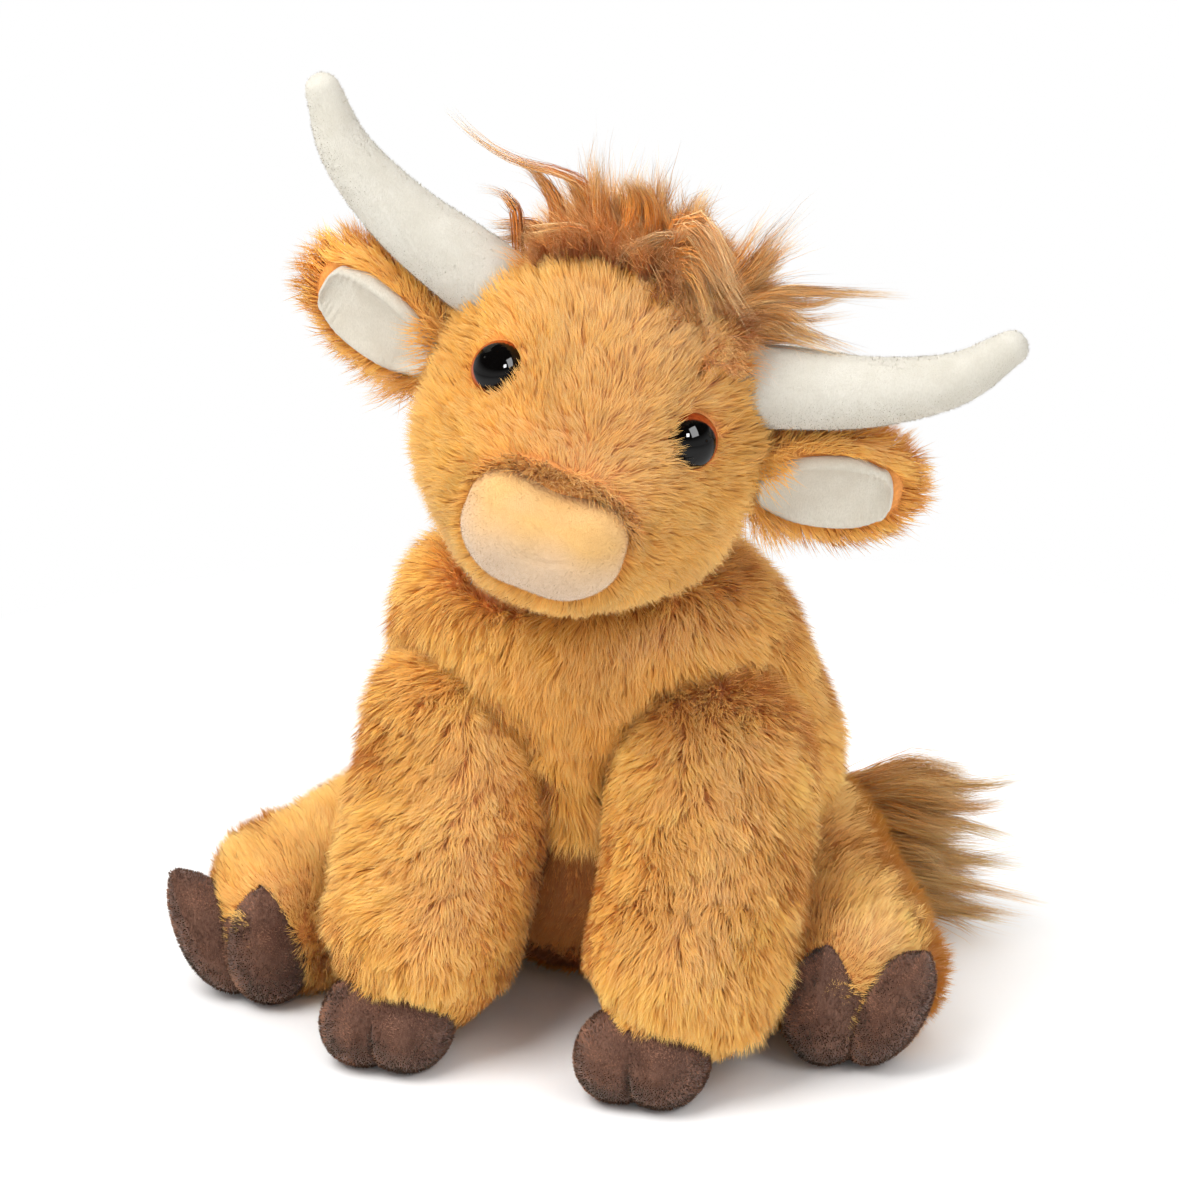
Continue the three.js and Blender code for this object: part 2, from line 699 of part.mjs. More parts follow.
function tailPieces() {
  const pivot = tailPivot();
  const core = {
    path: [
      pivot,
      pivot.clone().add(at(tail.reach / 2, 0, 0)),
      pivot.clone().add(at(tail.reach, -tail.curl, 0)),
    ],
    radii: [tail.coreRadius, tail.coreRadius, tail.coreRadius],
    lift: Z,
  };
  const end = core.path[2];
  const reachShares = [0, 0.45, 0.85];
  const curlShares = [0, 1, 1.4];
  const sizeShares = [0.5, 1, 0.8];
  const endShare = 0.6;
  const brush = {
    path: reachShares.map((share, i) => end.clone().add(at(tuft.length * share, -tail.curl * curlShares[i], 0))),
    radii: sizeShares.map((share) => (share * tuft.height) / 2),
    flat: tuft.thickness / tuft.height,
    lift: Y,
    blunt: endShare,
  };
  const hair = tubeSolid(brush, fine).subtract(tubeSolid(core, coarse, -gap));
  return [
    piece("tail_core", tubeSolid(core, coarse), materials.plush()),
    piece("tail_tuft", hair, materials.longHair()),
  ];
}

// The whole toy

const group = new THREE.Group();
group.add(...torsoPieces(neckCentre));
group.add(piece("neck", ball(neckCentre, neck.radius), materials.plush()));
for (const leg of legs) group.add(...legPieces(leg));
group.add(...hoofPieces(), ...tailPieces());

const headGroup = new THREE.Group();
headGroup.position.copy(headCentre);
headGroup.rotation.copy(headTurn);
headGroup.add(...headPieces());
group.add(headGroup);

export default group;
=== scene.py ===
"""A plush highland cow that sits with its head tilted: its looks, on the frame of its CAD model."""

import itertools
import math

import bmesh
import bpy
import numpy as np
from mathutils import Matrix, Vector
from mathutils.bvhtree import BVHTree

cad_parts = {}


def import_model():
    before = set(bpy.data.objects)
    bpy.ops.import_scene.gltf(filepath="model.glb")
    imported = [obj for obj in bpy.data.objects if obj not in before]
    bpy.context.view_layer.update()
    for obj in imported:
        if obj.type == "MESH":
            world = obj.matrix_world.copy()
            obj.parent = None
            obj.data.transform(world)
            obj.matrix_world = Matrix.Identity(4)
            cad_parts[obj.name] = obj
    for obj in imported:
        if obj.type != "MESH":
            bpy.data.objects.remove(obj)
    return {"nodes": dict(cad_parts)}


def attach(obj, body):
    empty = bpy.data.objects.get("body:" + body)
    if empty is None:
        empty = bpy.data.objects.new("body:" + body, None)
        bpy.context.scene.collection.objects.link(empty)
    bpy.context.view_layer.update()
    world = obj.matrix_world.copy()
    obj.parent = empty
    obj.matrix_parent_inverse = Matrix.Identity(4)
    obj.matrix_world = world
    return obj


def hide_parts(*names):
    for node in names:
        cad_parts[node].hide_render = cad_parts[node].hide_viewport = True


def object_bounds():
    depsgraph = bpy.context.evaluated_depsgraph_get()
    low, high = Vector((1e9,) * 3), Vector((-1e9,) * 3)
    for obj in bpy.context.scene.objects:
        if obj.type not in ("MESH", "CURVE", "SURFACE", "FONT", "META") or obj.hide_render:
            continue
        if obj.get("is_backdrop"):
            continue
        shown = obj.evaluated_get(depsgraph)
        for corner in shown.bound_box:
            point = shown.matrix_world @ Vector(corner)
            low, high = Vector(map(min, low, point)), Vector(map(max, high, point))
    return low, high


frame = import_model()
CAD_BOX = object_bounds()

# Lengths here are in millimetres, and meshes are made in metres.
MM = 0.001


def vec(*v):
    return np.array(v, float)


def unit(v):
    return v / np.maximum(np.linalg.norm(v, axis=-1, keepdims=True), 1e-9)


def dot(a, b):
    return np.sum(a * b, axis=-1, keepdims=True)


def flattened(v, n):
    """The part of v that lies in the surface whose normal is n."""
    return unit(v - dot(v, n) * n)


def from_segment(p, start, end):
    """How far each point lies from a segment."""
    way = end - start
    along = np.clip((p - start) @ way / (way @ way), 0, 1)[:, None]
    return np.linalg.norm(p - start - along * way, axis=1)


def mix(a, b, t):
    return a + (b - a) * t


def srgb(r, g, b):
    """A colour in 0 to 255 as Blender's linear values."""
    c = np.array([r, g, b], float) / 255
    return np.where(c <= 0.04045, c / 12.92, ((c + 0.055) / 1.055) ** 2.4)


# Sizes that the CAD model sets

HEAD_CENTRE = vec(15, -75, 218)
HEAD_TURN, HEAD_TILT = math.radians(8), math.radians(18.5)
HEAD_AXES = np.array(Matrix.Rotation(HEAD_TURN, 3, "Z") @ Matrix.Rotation(HEAD_TILT, 3, "Y"))
NECK_CENTRE, NECK_RADIUS = vec(-2, -46, 175), 29


def from_head(p):
    """Points in the head's own frame, whose face looks along -Y, in the row frame."""
    return np.asarray(p, float) @ HEAD_AXES.T + HEAD_CENTRE


def to_head(p):
    return (np.asarray(p, float) - HEAD_CENTRE) @ HEAD_AXES


def way_from_head(v):
    return np.asarray(v, float) @ HEAD_AXES.T


LEGS = {
    "front_leg_left": dict(
        path=[(46, -52, 98), (49.5, -73.1, 64.1), (48.5, -92, 35), (45, -100, 21)],
        radii=[31, 30.1, 29, 19], hoof="front_hoof_left", toes=[(33.5, -109, 14), (51.5, -109, 14)]),
    "front_leg_right": dict(
        path=[(-36, -52, 98), (-36.5, -73.1, 64.1), (-39, -92, 35), (-44, -100, 21)],
        radii=[31, 30.1, 29, 19], hoof="front_hoof_right", toes=[(-55, -109, 14), (-37, -109, 14)]),
    "hind_leg_left": dict(
        path=[(55, 5, 37), (76, -22.5, 30.8), (97, -50, 24.5)],
        radii=[31, 27, 25], hoof="hind_hoof_left", toes=[(93, -64, 19.7), (111, -64, 19.7)]),
    "hind_leg_right": dict(
        path=[(-55, 5, 37), (-78.5, -28.5, 30.8), (-102, -62, 24.5)],
        radii=[31, 27, 25], hoof="hind_hoof_right", toes=[(-119, -76, 19.7), (-101, -76, 19.7)]),
}
TOE_RADII = {"front": vec(13, 17.5, 14.5), "hind": vec(13, 15, 21)}
INNER_SHELL = dict(shift=vec(-0.5, -1, -0.6), radii=vec(14.6, 15.5, 19), lean=2, peak=0.24, spread=26)
WEB = dict(shift=vec(0, 2, -1), radii=vec(10, 13, 16.5), lean=0, peak=0, spread=20)
OUTER_SHELL = dict(shift=vec(1.5, 1.5, 0), radii=vec(11.5, 14.5, 20.5), lean=30, peak=0.36, spread=22)


# Meshes

def mesh_object(name, verts, tris, tint=None, smooth=True, normals=None):
    """A mesh of triangles from points in millimetres, with a colour and a normal at each point if they are given."""
    mesh = bpy.data.meshes.new(name)
    verts, tris = np.asarray(verts, np.float32) * MM, np.asarray(tris, np.int32)
    mesh.vertices.add(len(verts))
    mesh.vertices.foreach_set("co", verts.ravel())
    mesh.loops.add(tris.size)
    mesh.loops.foreach_set("vertex_index", tris.ravel())
    mesh.polygons.add(len(tris))
    mesh.polygons.foreach_set("loop_start", np.arange(0, tris.size, 3, dtype=np.int32))
    mesh.polygons.foreach_set("use_smooth", np.full(len(tris), smooth))
    if tint is not None:
        rgba = np.ones((len(verts), 4), np.float32)
        rgba[:, :3] = tint
        layer = mesh.color_attributes.new("Tint", "FLOAT_COLOR", "POINT")
        layer.data.foreach_set("color", rgba.ravel())
    mesh.update(calc_edges=True)
    if normals is not None:
        mesh.normals_split_custom_set_from_vertices(np.asarray(normals, np.float32))
    piece = bpy.data.objects.new(name, mesh)
    bpy.context.scene.collection.objects.link(piece)
    return piece


def dress(piece, material, body):
    piece.data.materials.append(material)
    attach(piece, body)
    return piece


def icosphere(level):
    """Points and triangles of a unit ball."""
    bm = bmesh.new()
    bmesh.ops.create_icosphere(bm, subdivisions=level, radius=1)
    bm.verts.ensure_lookup_table()
    verts = np.array([v.co[:] for v in bm.verts])
    tris = np.array([[v.index for v in f.verts] for f in bm.faces])
    bm.free()
    return unit(verts), tris


def neighbours_mean(values, tris):
    """The mean of each point's neighbours."""
    total, count = np.zeros_like(values), np.zeros(len(values))
    for a, b in ((0, 1), (1, 2), (2, 0)):
        np.add.at(total, tris[:, a], values[tris[:, b]])
        np.add.at(count, tris[:, a], 1)
    return total / (count[:, None] if values.ndim > 1 else count)


def point_normals(verts, tris):
    a, b, c = (verts[tris[:, k]] for k in range(3))
    face = np.cross(b - a, c - a)
    normals = np.zeros_like(verts)
    for k in range(3):
        np.add.at(normals, tris[:, k], face)
    return unit(normals)


class Skin:
    """A surface that fur grows on."""

    def __init__(self, verts, tris):
        self.verts, self.tris = np.asarray(verts, float), np.asarray(tris)
        self.normals = point_normals(self.verts, self.tris)

    def sample(self, per_mm2, rng):
        """Points spread evenly over the surface, with their normals."""
        a, b, c = (self.verts[self.tris[:, k]] for k in range(3))
        area = np.linalg.norm(np.cross(b - a, c - a), axis=1) / 2
        count = int(area.sum() * per_mm2)
        tri = self.tris[rng.choice(len(area), count, p=area / area.sum())]
        u, v = rng.random((2, count, 1))
        over = u + v > 1
        u, v = np.where(over, 1 - u, u), np.where(over, 1 - v, v)
        share = [1 - u - v, u, v]
        p = sum(s * self.verts[tri[:, k]] for k, s in enumerate(share))
        n = unit(sum(s * self.normals[tri[:, k]] for k, s in enumerate(share)))
        return p, n


def depth_in(p, skin):
    """How far each point lies inside a skin; negative outside."""
    tree = BVHTree.FromPolygons(skin.verts.tolist(), skin.tris.tolist())
    out = np.empty(len(p))
    for i, q in enumerate(p):
        spot, normal, _, distance = tree.find_nearest(Vector(q))
        out[i] = -distance if (Vector(q) - spot).dot(normal) > 0 else distance
    return out


def star_skin(node, core, fill):
    """The outer surface of a CAD node seen from a core, with the places where fill is true closed smoothly."""
    mesh = frame["nodes"][node].data
    tree = BVHTree.FromPolygons([v.co / MM for v in mesh.vertices], [p.vertices[:] for p in mesh.polygons])
    ways, tris = icosphere(6)
    reach, open_place = np.zeros(len(ways)), np.zeros(len(ways), bool)
    far, least_reach, least_facing, closing_rounds, smoothing_rounds = 400, 30, 0.02, 400, 3
    for i, way in enumerate(ways):
        hit, normal, _, distance = tree.ray_cast(Vector(core + way * far), Vector(-way))
        missed = hit is None or distance > far - least_reach or np.dot(normal, way) < least_facing
        open_place[i] = missed or fill(np.array(hit))
        reach[i] = 0 if open_place[i] else far - distance
    reach[open_place] = reach[~open_place].mean()
    for _ in range(closing_rounds):
        reach = np.where(open_place, neighbours_mean(reach, tris), reach)
    for _ in range(smoothing_rounds):
        reach = mix(reach, neighbours_mean(reach, tris), 0.6)
    return Skin(core + ways * reach[:, None], tris)


def fullness(p, lobes, softness=5):
    """How full of lobes of (centre, radii, axes) each point is: 1 on the soft form's surface, more inside."""
    return sum(np.exp(softness * (1 - (((p - c) @ axes / r) ** 2).sum(1))) for c, r, axes in lobes)


def lobe_skin(lobes, core, level, softness=5):
    """A soft form round a core, from lobes, found by halving the reach along each way."""
    ways, tris = icosphere(level)
    low, high = np.zeros(len(ways)), np.full(len(ways), 120.0)
    for _ in range(30):
        middle = (low + high) / 2
        full = fullness(core + ways * middle[:, None], lobes, softness)
        low, high = np.where(full > 1, middle, low), np.where(full > 1, high, middle)
    return Skin(core + ways * low[:, None], tris)


def ring_tris(rings, sides):
    """The triangles between closed rings of points that stand one after another."""
    j = np.arange(sides)
    k = (j + 1) % sides
    tris = []
    for r in range(rings - 1):
        a, b, c, d = r * sides + j, r * sides + k, (r + 1) * sides + j, (r + 1) * sides + k
        tris += [np.stack([a, c, b], 1), np.stack([b, c, d], 1)]
    return np.vstack(tris)


def spline(points, count):
    """Points evenly spaced in the parameter of a smooth curve through the given ones."""
    points = np.asarray(points, float)
    ext = np.vstack([2 * points[0] - points[1], points, 2 * points[-1] - points[-2]])
    t = np.linspace(0, len(points) - 1, count)
    i = np.minimum(t.astype(int), len(points) - 2)
    f = (t - i)[:, None]
    a, b, c, d = (ext[i + k] for k in range(4))
    return 0.5 * (2 * b + (c - a) * f + (2 * a - 5 * b + 4 * c - d) * f**2 + (3 * b - a - 3 * c + d) * f**3)


class Tube:
    """A form that swells and tapers along a path, with round ends."""

    def __init__(self, path, radii, lift=(0, 0, 1), flat=1.0, blunt=1.0, rings=48, sides=40):
        self.spine = spline(path, rings)
        self.radii = spline(np.asarray(radii, float)[:, None], rings)[:, 0]
        self.ways = unit(np.gradient(self.spine, axis=0))
        self.side = unit(np.cross(self.ways, np.asarray(lift, float)))
        self.up = unit(np.cross(self.side, self.ways))
        self.flat, self.blunt, self.sides = flat, blunt, sides

    def skin(self, grow=0.0):
        angle = np.linspace(0, 2 * math.pi, self.sides, endpoint=False)
        rows = []
        caps = np.linspace(0, math.pi / 2, 9)

        def ring(i, push, share):
            r = self.radii[i] + grow
            flat = self.radii[i] * self.flat + grow
            centre = self.spine[i] + self.ways[i] * push * r * self.blunt
            across = np.cos(angle)[:, None] * self.side[i] * r * share
            rows.append(centre + across + np.sin(angle)[:, None] * self.up[i] * flat * share)

        for a in caps[:0:-1]:
            ring(0, -math.sin(a), max(math.cos(a), 0.02))
        for i in range(len(self.spine)):
            ring(i, 0, 1)
        for a in caps[1:]:
            ring(-1, math.sin(a), max(math.cos(a), 0.02))
        s = self.sides
        fan = np.stack([np.zeros(s - 2, int), np.arange(1, s - 1), np.arange(2, s)], 1)
        last = (len(rows) - 1) * s + fan[:, [0, 2, 1]]
        return Skin(np.vstack(rows), np.vstack([ring_tris(len(rows), s), fan, last]))

    def nearest(self, p):
        """For each point, the nearest place on the spine: its index and the distance over the radius there."""
        best, place = np.full(len(p), 1e9), np.zeros(len(p), int)
        for i in range(0, len(self.spine), 2):
            arm = p - self.spine[i]
            along = (arm @ self.up[i]) / self.flat
            squared = (arm**2).sum(1) - (arm @ self.up[i]) ** 2 + along**2
            share = np.sqrt(np.maximum(squared, 0)) / self.radii[i]
            closer = share < best
            best, place = np.where(closer, share, best), np.where(closer, i, place)
        return place, best


# Patterns

def hashed(cells, seed, count):
    """Numbers from 0 to 1 that a cell of space always gets alike."""
    x, y, z = (cells[:, k].astype(np.int64) for k in range(3))
    out = []
    for k in range(count):
        h = x * 73856093 ^ y * 19349663 ^ z * 83492791 ^ (seed * 7919 + k * 104729)
        h = (h ^ (h >> 13)) * 1274126177 & 0x7FFFFFFF
        h = (h ^ (h >> 16)) * 1103515245 & 0x7FFFFFFF
        out.append(((h ^ (h >> 11)) % 65536) / 65536)
    return np.stack(out, 1)


def locks_at(p, cell, seed):
    """The lock that each point belongs to: its middle, and four numbers of its own."""
    base = np.floor(p / cell).astype(int)
    best, middle, own = np.full(len(p), 1e9), np.zeros_like(p), np.zeros((len(p), 4))
    for shift in itertools.product((-1, 0, 1), repeat=3):
        cells = base + np.array(shift)
        h = hashed(cells, seed, 7)
        spot = (cells + h[:, :3]) * cell
        gap = ((spot - p) ** 2).sum(1)
        closer = gap < best
        best = np.where(closer, gap, best)
        middle[closer], own[closer] = spot[closer], h[closer, 3:]
    return middle, own


def drift(p, size, seed):
    """A smooth pattern from -1 to 1 that varies over about this size."""
    rng = np.random.default_rng(seed)
    total = np.zeros(len(p))
    for _ in range(5):
        way = unit(rng.normal(size=3)) * 2 * math.pi / (size * rng.uniform(0.8, 1.7))
        total += np.sin(p @ way + rng.uniform(0, 2 * math.pi))
    return total / 3


def turned(v, axis, angle):
    """v turned about axis by an angle for each row."""
    s, c = np.sin(angle)[:, None], np.cos(angle)[:, None]
    return v * c + np.cross(axis, v) * s + axis * dot(axis, v) * (1 - c)


# Fur

FUR = [srgb(250, 168, 78), srgb(255, 178, 78), srgb(255, 188, 86), srgb(254, 209, 128)]
HAIR = [srgb(196, 104, 36), srgb(244, 150, 62), srgb(254, 178, 90), srgb(255, 218, 160)]
PALE_FUR = [mix(FUR[0], FUR[3], 0.4), mix(FUR[1], FUR[3], 0.35), mix(FUR[2], FUR[3], 0.3), FUR[3]]
MOST_FACES = 190_000
# How deep blades start in the skin, and how high over the floor they stay.
ROOT_DEPTH, FLOOR_GAP = 0.8, 0.4
# What turns the comb, as shares of its wander: a lock, a group of locks, and patches of this size.
LOCK_TURN, GROUP_TURN, PATCH_TURN, PATCH_SIZE = 0.8, 0.45, 1.0, 36


def ribbons(name, curves, widths, sideways, tints, facing, body, material):
    """Fine tapered blades along curves (n, levels, 3), in pieces of at most MOST_FACES faces."""

    def edges(rows):
        """The rows of a blade's left edge, its right edge and its tip."""
        return np.concatenate([rows[:, :-1], rows[:, :-1], rows[:, -1:]], axis=1)

    n, levels = curves.shape[:2]
    facing = np.broadcast_to(facing, curves.shape)
    way = curves[:, -1:] - curves[:, :1]
    sideways = sideways * np.where(dot(np.cross(sideways, way), facing[:, :1]) < 0, -1, 1)
    half = sideways * widths[:, :, None] / 2
    left, right = curves[:, :-1] - half[:, :-1], curves[:, :-1] + half[:, :-1]
    points = np.concatenate([left, right, curves[:, -1:]], axis=1)
    flat = unit(np.cross(sideways, way))
    colours, shading = edges(tints), edges(unit(0.75 * facing + 0.25 * flat))
    m = levels - 1
    faces = []
    for k in range(m - 1):
        faces += [(k, m + k, m + k + 1), (k, m + k + 1, k + 1)]
    faces.append((m - 1, 2 * m - 1, 2 * m))
    faces = np.array(faces)
    per = MOST_FACES // len(faces)
    pieces = []
    for part, start in enumerate(range(0, n, per)):
        chosen = points[start : start + per]
        base = np.arange(len(chosen))[:, None, None] * (2 * m + 1)
        tris = (faces[None] + base).reshape(-1, 3)
        tint, normals = (rows[start : start + per].reshape(-1, 3) for rows in (colours, shading))
        piece = mesh_object(f"{name}_{part + 1}", chosen.reshape(-1, 3), tris, tint, normals=normals)
        pieces.append(dress(piece, material, body))
    return pieces


def ramped(ramp, steps):
    """Colours along a strand, from four that stand at its root, 0.3, 0.65 and its tip."""
    return np.stack([np.interp(steps, [0, 0.3, 0.65, 1], [c[k] for c in ramp]) for k in range(3)], 1)


def fur(name, body, places, normals, flow, length, seed, cell=4.8, pull=0.2, wander=32, lean=(22, 60), width=0.28,
        ramp=FUR, tone=None, steps=(0, 0.3, 0.65, 1), frizz=0.0, material="fur"):
    """Locks of pile that grow from the places, along flow.

    cell is the size of a lock, pull how far its tips draw together, wander how far its comb turns in degrees, and lean
    the angles from the normal at root and tip.
    """
    rng = np.random.default_rng(seed)
    n = len(places)
    middle, own = locks_at(places, cell, seed)
    big, grand = locks_at(places, cell * 2.7, seed + 5)
    comb = flattened(flow, normals)
    turn = LOCK_TURN * (own[:, 0] * 2 - 1) + GROUP_TURN * (grand[:, 0] * 2 - 1)
    turn += PATCH_TURN * drift(places, PATCH_SIZE, seed)
    comb = turned(comb, normals, np.radians(wander) * turn + rng.normal(0, 0.16, n))
    across = np.cross(normals, comb)
    size = length * (0.84 + 0.2 * own[:, 1] + 0.12 * grand[:, 1]) * rng.uniform(0.76, 1.12, n)
    low = np.radians(lean[0] + 9 * (own[:, 2] * 2 - 1) + rng.normal(0, 9, n))
    high = np.radians(lean[1] + 5 * (grand[:, 2] * 2 - 1) + rng.normal(0, 9, n))
    to_lock = middle - places
    to_lock = to_lock - dot(to_lock, normals) * normals
    steps = np.array(steps, float)
    curve = [places - normals * ROOT_DEPTH]
    for a, b in zip(steps[:-1], steps[1:]):
        t = (a + b) / 2
        angle = mix(low, high, t**0.8)[:, None]
        curve.append(curve[-1] + (normals * np.cos(angle) + comb * np.sin(angle)) * (size * (b - a))[:, None])
    curl = rng.normal(0, 0.07, n) + 0.05 * (own[:, 3] * 2 - 1)
    curves = np.stack(curve, 1)
    for k, t in enumerate(steps):
        curves[:, k] += to_lock * (pull * t**1.3) + across * (curl * size * t**2)[:, None]
    curves += rng.normal(0, 1, curves.shape) * (frizz * steps)[None, :, None]
    curves[:, :, 2] = np.maximum(curves[:, :, 2], FLOOR_GAP + rng.random((n, 1)) * 0.8)
    way = unit(curves[:, -1] - curves[:, 0])
    roll = rng.normal(0, 0.6, n)
    side = turned(unit(np.cross(way, normals)), way, roll)
    widths = width * rng.uniform(0.75, 1.2, (n, 1)) * (1 - steps**3)
    shade = 1 + 0.06 * (own[:, 3] * 2 - 1) + 0.05 * drift(places, 30, seed + 9) + rng.normal(0, 0.06, n)
    pale = np.clip(rng.normal(1.0, 0.35, n) + 0.2 * (grand[:, 3] - 0.5), 0, 1.6)
    colours = ramped(ramp, steps)
    tints = np.tile(colours, (n, 1, 1))
    tints[:, -1] = mix(colours[-2], colours[-1], pale[:, None])
    tints *= shade[:, None, None]
    # tone scales each blade's colours; on the torso and the head it darkens some places as painted shade.
    if tone is not None:
        tints *= tone[:, None, :]
    tints[:, :, 2] *= (1 + 0.08 * (own[:, 0] * 2 - 1))[:, None]
    return ribbons(name, curves, widths, side[:, None, :], np.clip(tints, 0, 0.98), normals[:, None, :], body,
                   MATERIALS[material])


def wisps(points, hairs, root, tip, rng, each=30, pale=0.12):
    """A lock split into wisps that part from one another toward their tips."""
    path = spline(points, 25)
    out = []
    for _ in range(max(2, round(hairs / each))):
        t = np.linspace(0, 1, 5)[:, None]
        along = (t[:, 0] * 24 * rng.uniform(0.62, 1)).astype(int)
        aside = rng.normal(0, 0.42, 3) * root * (0.6 + t) + rng.normal(0, 0.5, 3) * root * t**2
        out.append((path[along] + aside, 2.2 * each, 0.4 * root + 0.4, 0.5 * tip + 0.3, 1.0, pale))
    return out


def long_hair(name, body, locks, seed, width=0.25, tone=1.0):
    """Locks of long hair: each is (guide points, hairs, radius at the root, radius at the tip, fluff, pale share)."""
    rng = np.random.default_rng(seed)
    steps = np.linspace(0, 1, 8)
    curves, tints, facing = [], [], []
    colours = ramped(HAIR, steps)
    for points, hairs, root, tip, fluff, pale in locks:
        n = max(int(hairs), 12)
        path = spline(points, 40)
        ways = unit(np.gradient(path, axis=0))
        side = unit(np.cross(ways, vec(0.31, 0.9, 0.3)))
        up = np.cross(side, ways)
        reach = rng.uniform(0.62, 1.04, n) ** 0.8
        t = steps[None] * reach[:, None]
        where = t * (len(path) - 1)
        at, along_side, along_up = (
            np.stack([np.interp(where, np.arange(len(path)), rows[:, k]) for k in range(3)], -1)
            for rows in (path, side, up))
        turn = rng.uniform(0, 2 * math.pi, n)[:, None] + rng.normal(0, 1.2, (n, 1)) * t
        girth = mix(root, tip, t) * (1 + 0.35 * np.sin(math.pi * t)) * np.sqrt(rng.random((n, 1)))
        wave = 0.7 * fluff * np.sin(t * rng.uniform(5, 15, (n, 1)) + rng.uniform(0, 6.3, (n, 1))) * t
        loose = np.where(rng.random((n, 1)) < 0.14, 2.6, 1.0)
        stray = rng.normal(0, 1, (n, 1, 3)) * (t**1.6 * 1.7 * fluff * loose)[:, :, None]
        facing.append(unit(along_side * np.cos(turn)[:, :, None] + along_up * np.sin(turn)[:, :, None]))
        curves.append(at + along_side * (np.cos(turn) * girth + wave)[:, :, None]
                      + along_up * (np.sin(turn) * girth)[:, :, None] + stray)
        shade = tone * rng.uniform(0.82, 1.12) * (1 + rng.normal(0, 0.14, n))
        bleached = np.where(rng.random(n) < pale, rng.uniform(0.4, 1.0, n), 0)[:, None, None]
        tint = np.tile(colours, (n, 1, 1)) * shade[:, None, None]
        tints.append(mix(tint, np.tile(HAIR[3], (n, len(steps), 1)), bleached))
    curves, tints = np.concatenate(curves), np.clip(np.concatenate(tints), 0, 0.95)
    curves[:, :, 2] = np.maximum(curves[:, :, 2], FLOOR_GAP + 0.1 + rng.random((len(curves), 1)))
    order = rng.permutation(len(curves))
    curves, tints, facing = curves[order], tints[order], np.concatenate(facing)[order]
    way = unit(curves[:, -1] - curves[:, 0])
    side = turned(unit(np.cross(way, vec(0.2, 0.97, 0.1))), way, rng.uniform(-1.2, 1.2, len(way)))
    widths = width * rng.uniform(0.7, 1.25, (len(curves), 1)) * (1 - steps**2.5)
    return ribbons(name, curves, widths, side[:, None, :], tints, facing, body, MATERIALS["hair"])


def pile(name, body, skin, nap, colours, seed, length=1.1, per_mm2=4.0, width=0.3, keep=None, patch=9, lie=38):
    """Very short pile over velour: a blade of three faces for each tuft."""
    rng = np.random.default_rng(seed)
    p, n = skin.sample(per_mm2, rng)
    if keep is not None:
        chosen = keep(p)
        p, n = p[chosen], n[chosen]
    count = len(p)
    brushed = drift(p, patch, seed)
    comb = turned(flattened(np.broadcast_to(nap, p.shape) + 0.01, n), n, 0.9 * brushed + rng.normal(0, 0.5, count))
    size = length * rng.uniform(0.7, 1.25, count)[:, None]
    lean = np.radians(lie + 16 * brushed + rng.normal(0, 10, count))[:, None]
    base = p - n * 0.2
    middle = base + size * 0.55 * n
    tip = middle + size * 0.6 * (n * np.cos(lean) + comb * np.sin(lean))
    curves = np.stack([base, middle, tip], 1)
    curves[:, :, 2] = np.maximum(curves[:, :, 2], 0.3)
    way = unit(tip - base)
    side = turned(unit(np.cross(way, n)), way, rng.normal(0, 0.9, count))
    widths = width * rng.uniform(0.7, 1.2, (count, 1)) * np.array([[1, 0.8, 0]])
    pale = np.clip(0.5 + 0.5 * brushed + rng.normal(0, 0.25, count), 0, 1)[:, None, None]
    # The nose's nap takes its tint from its height, with the warmer top as painted light.
    if callable(colours):
        high = (to_head(p) - NOSE_CENTRE)[:, 2]
        base = colours(np.clip((high + 14) / 22 + 0.3 * (pale[:, 0, 0] - 0.5), 0, 1)[:, None])[:, None, :]
    else:
        base = mix(np.asarray(colours[0]), np.asarray(colours[1]), pale)
    tints = base * np.array([0.78, 0.95, 1.12])[None, :, None]
    tints = np.clip(tints * (1 + rng.normal(0, 0.06, (count, 1, 1))), 0, 0.97)
    return ribbons(name, curves, widths, side[:, None, :], tints, n[:, None, :], body, MATERIALS["nap"])


# Materials

def node_material(name):
    material = bpy.data.materials.new(name)
    material.use_nodes = True
    tree = material.node_tree
    return material, tree, tree.nodes["Principled BSDF"]


def add(tree, kind, inputs=(), **settings):
    node = tree.nodes.new(kind)
    for key, value in settings.items():
        setattr(node, key, value)
    for key, value in dict(inputs).items():
        if isinstance(value, bpy.types.NodeSocket):
            tree.links.new(value, node.inputs[key])
        else:
            node.inputs[key].default_value = value
    return node


def mixed(tree, factor, a, b, blend="MIX"):
    node = tree.nodes.new("ShaderNodeMix")
    node.data_type, node.blend_type = "RGBA", blend
    for socket, value in ((node.inputs[0], factor), (node.inputs[6], a), (node.inputs[7], b)):
        if isinstance(value, bpy.types.NodeSocket):
            tree.links.new(value, socket)
        elif isinstance(value, (int, float)):
            socket.default_value = value
        else:
            socket.default_value = (*value, 1)
    return node.outputs[2]


def noise(tree, scale, detail=4.0, rough=0.55, stretch=(1, 1, 1)):
    where = add(tree, "ShaderNodeTexCoord").outputs["Object"]
    where = add(tree, "ShaderNodeMapping", {"Vector": where, "Scale": stretch}).outputs[0]
    node = add(tree, "ShaderNodeTexNoise", {"Vector": where, "Scale": scale, "Detail": detail, "Roughness": rough})
    return node.outputs[0]


def spread(tree, value, low, high, to_low=0.0, to_high=1.0):
    node = add(tree, "ShaderNodeMapRange", {"Value": value, "From Min": low, "From Max": high, "To Min": to_low,
                                            "To Max": to_high})
    return node.outputs[0]


def darker(tree, colour, by):
    return mixed(tree, 1.0, colour, by, "MULTIPLY")


def tint_of(tree):
    """The colour that the mesh holds at each point."""
    return add(tree, "ShaderNodeAttribute", attribute_name="Tint").outputs["Color"]


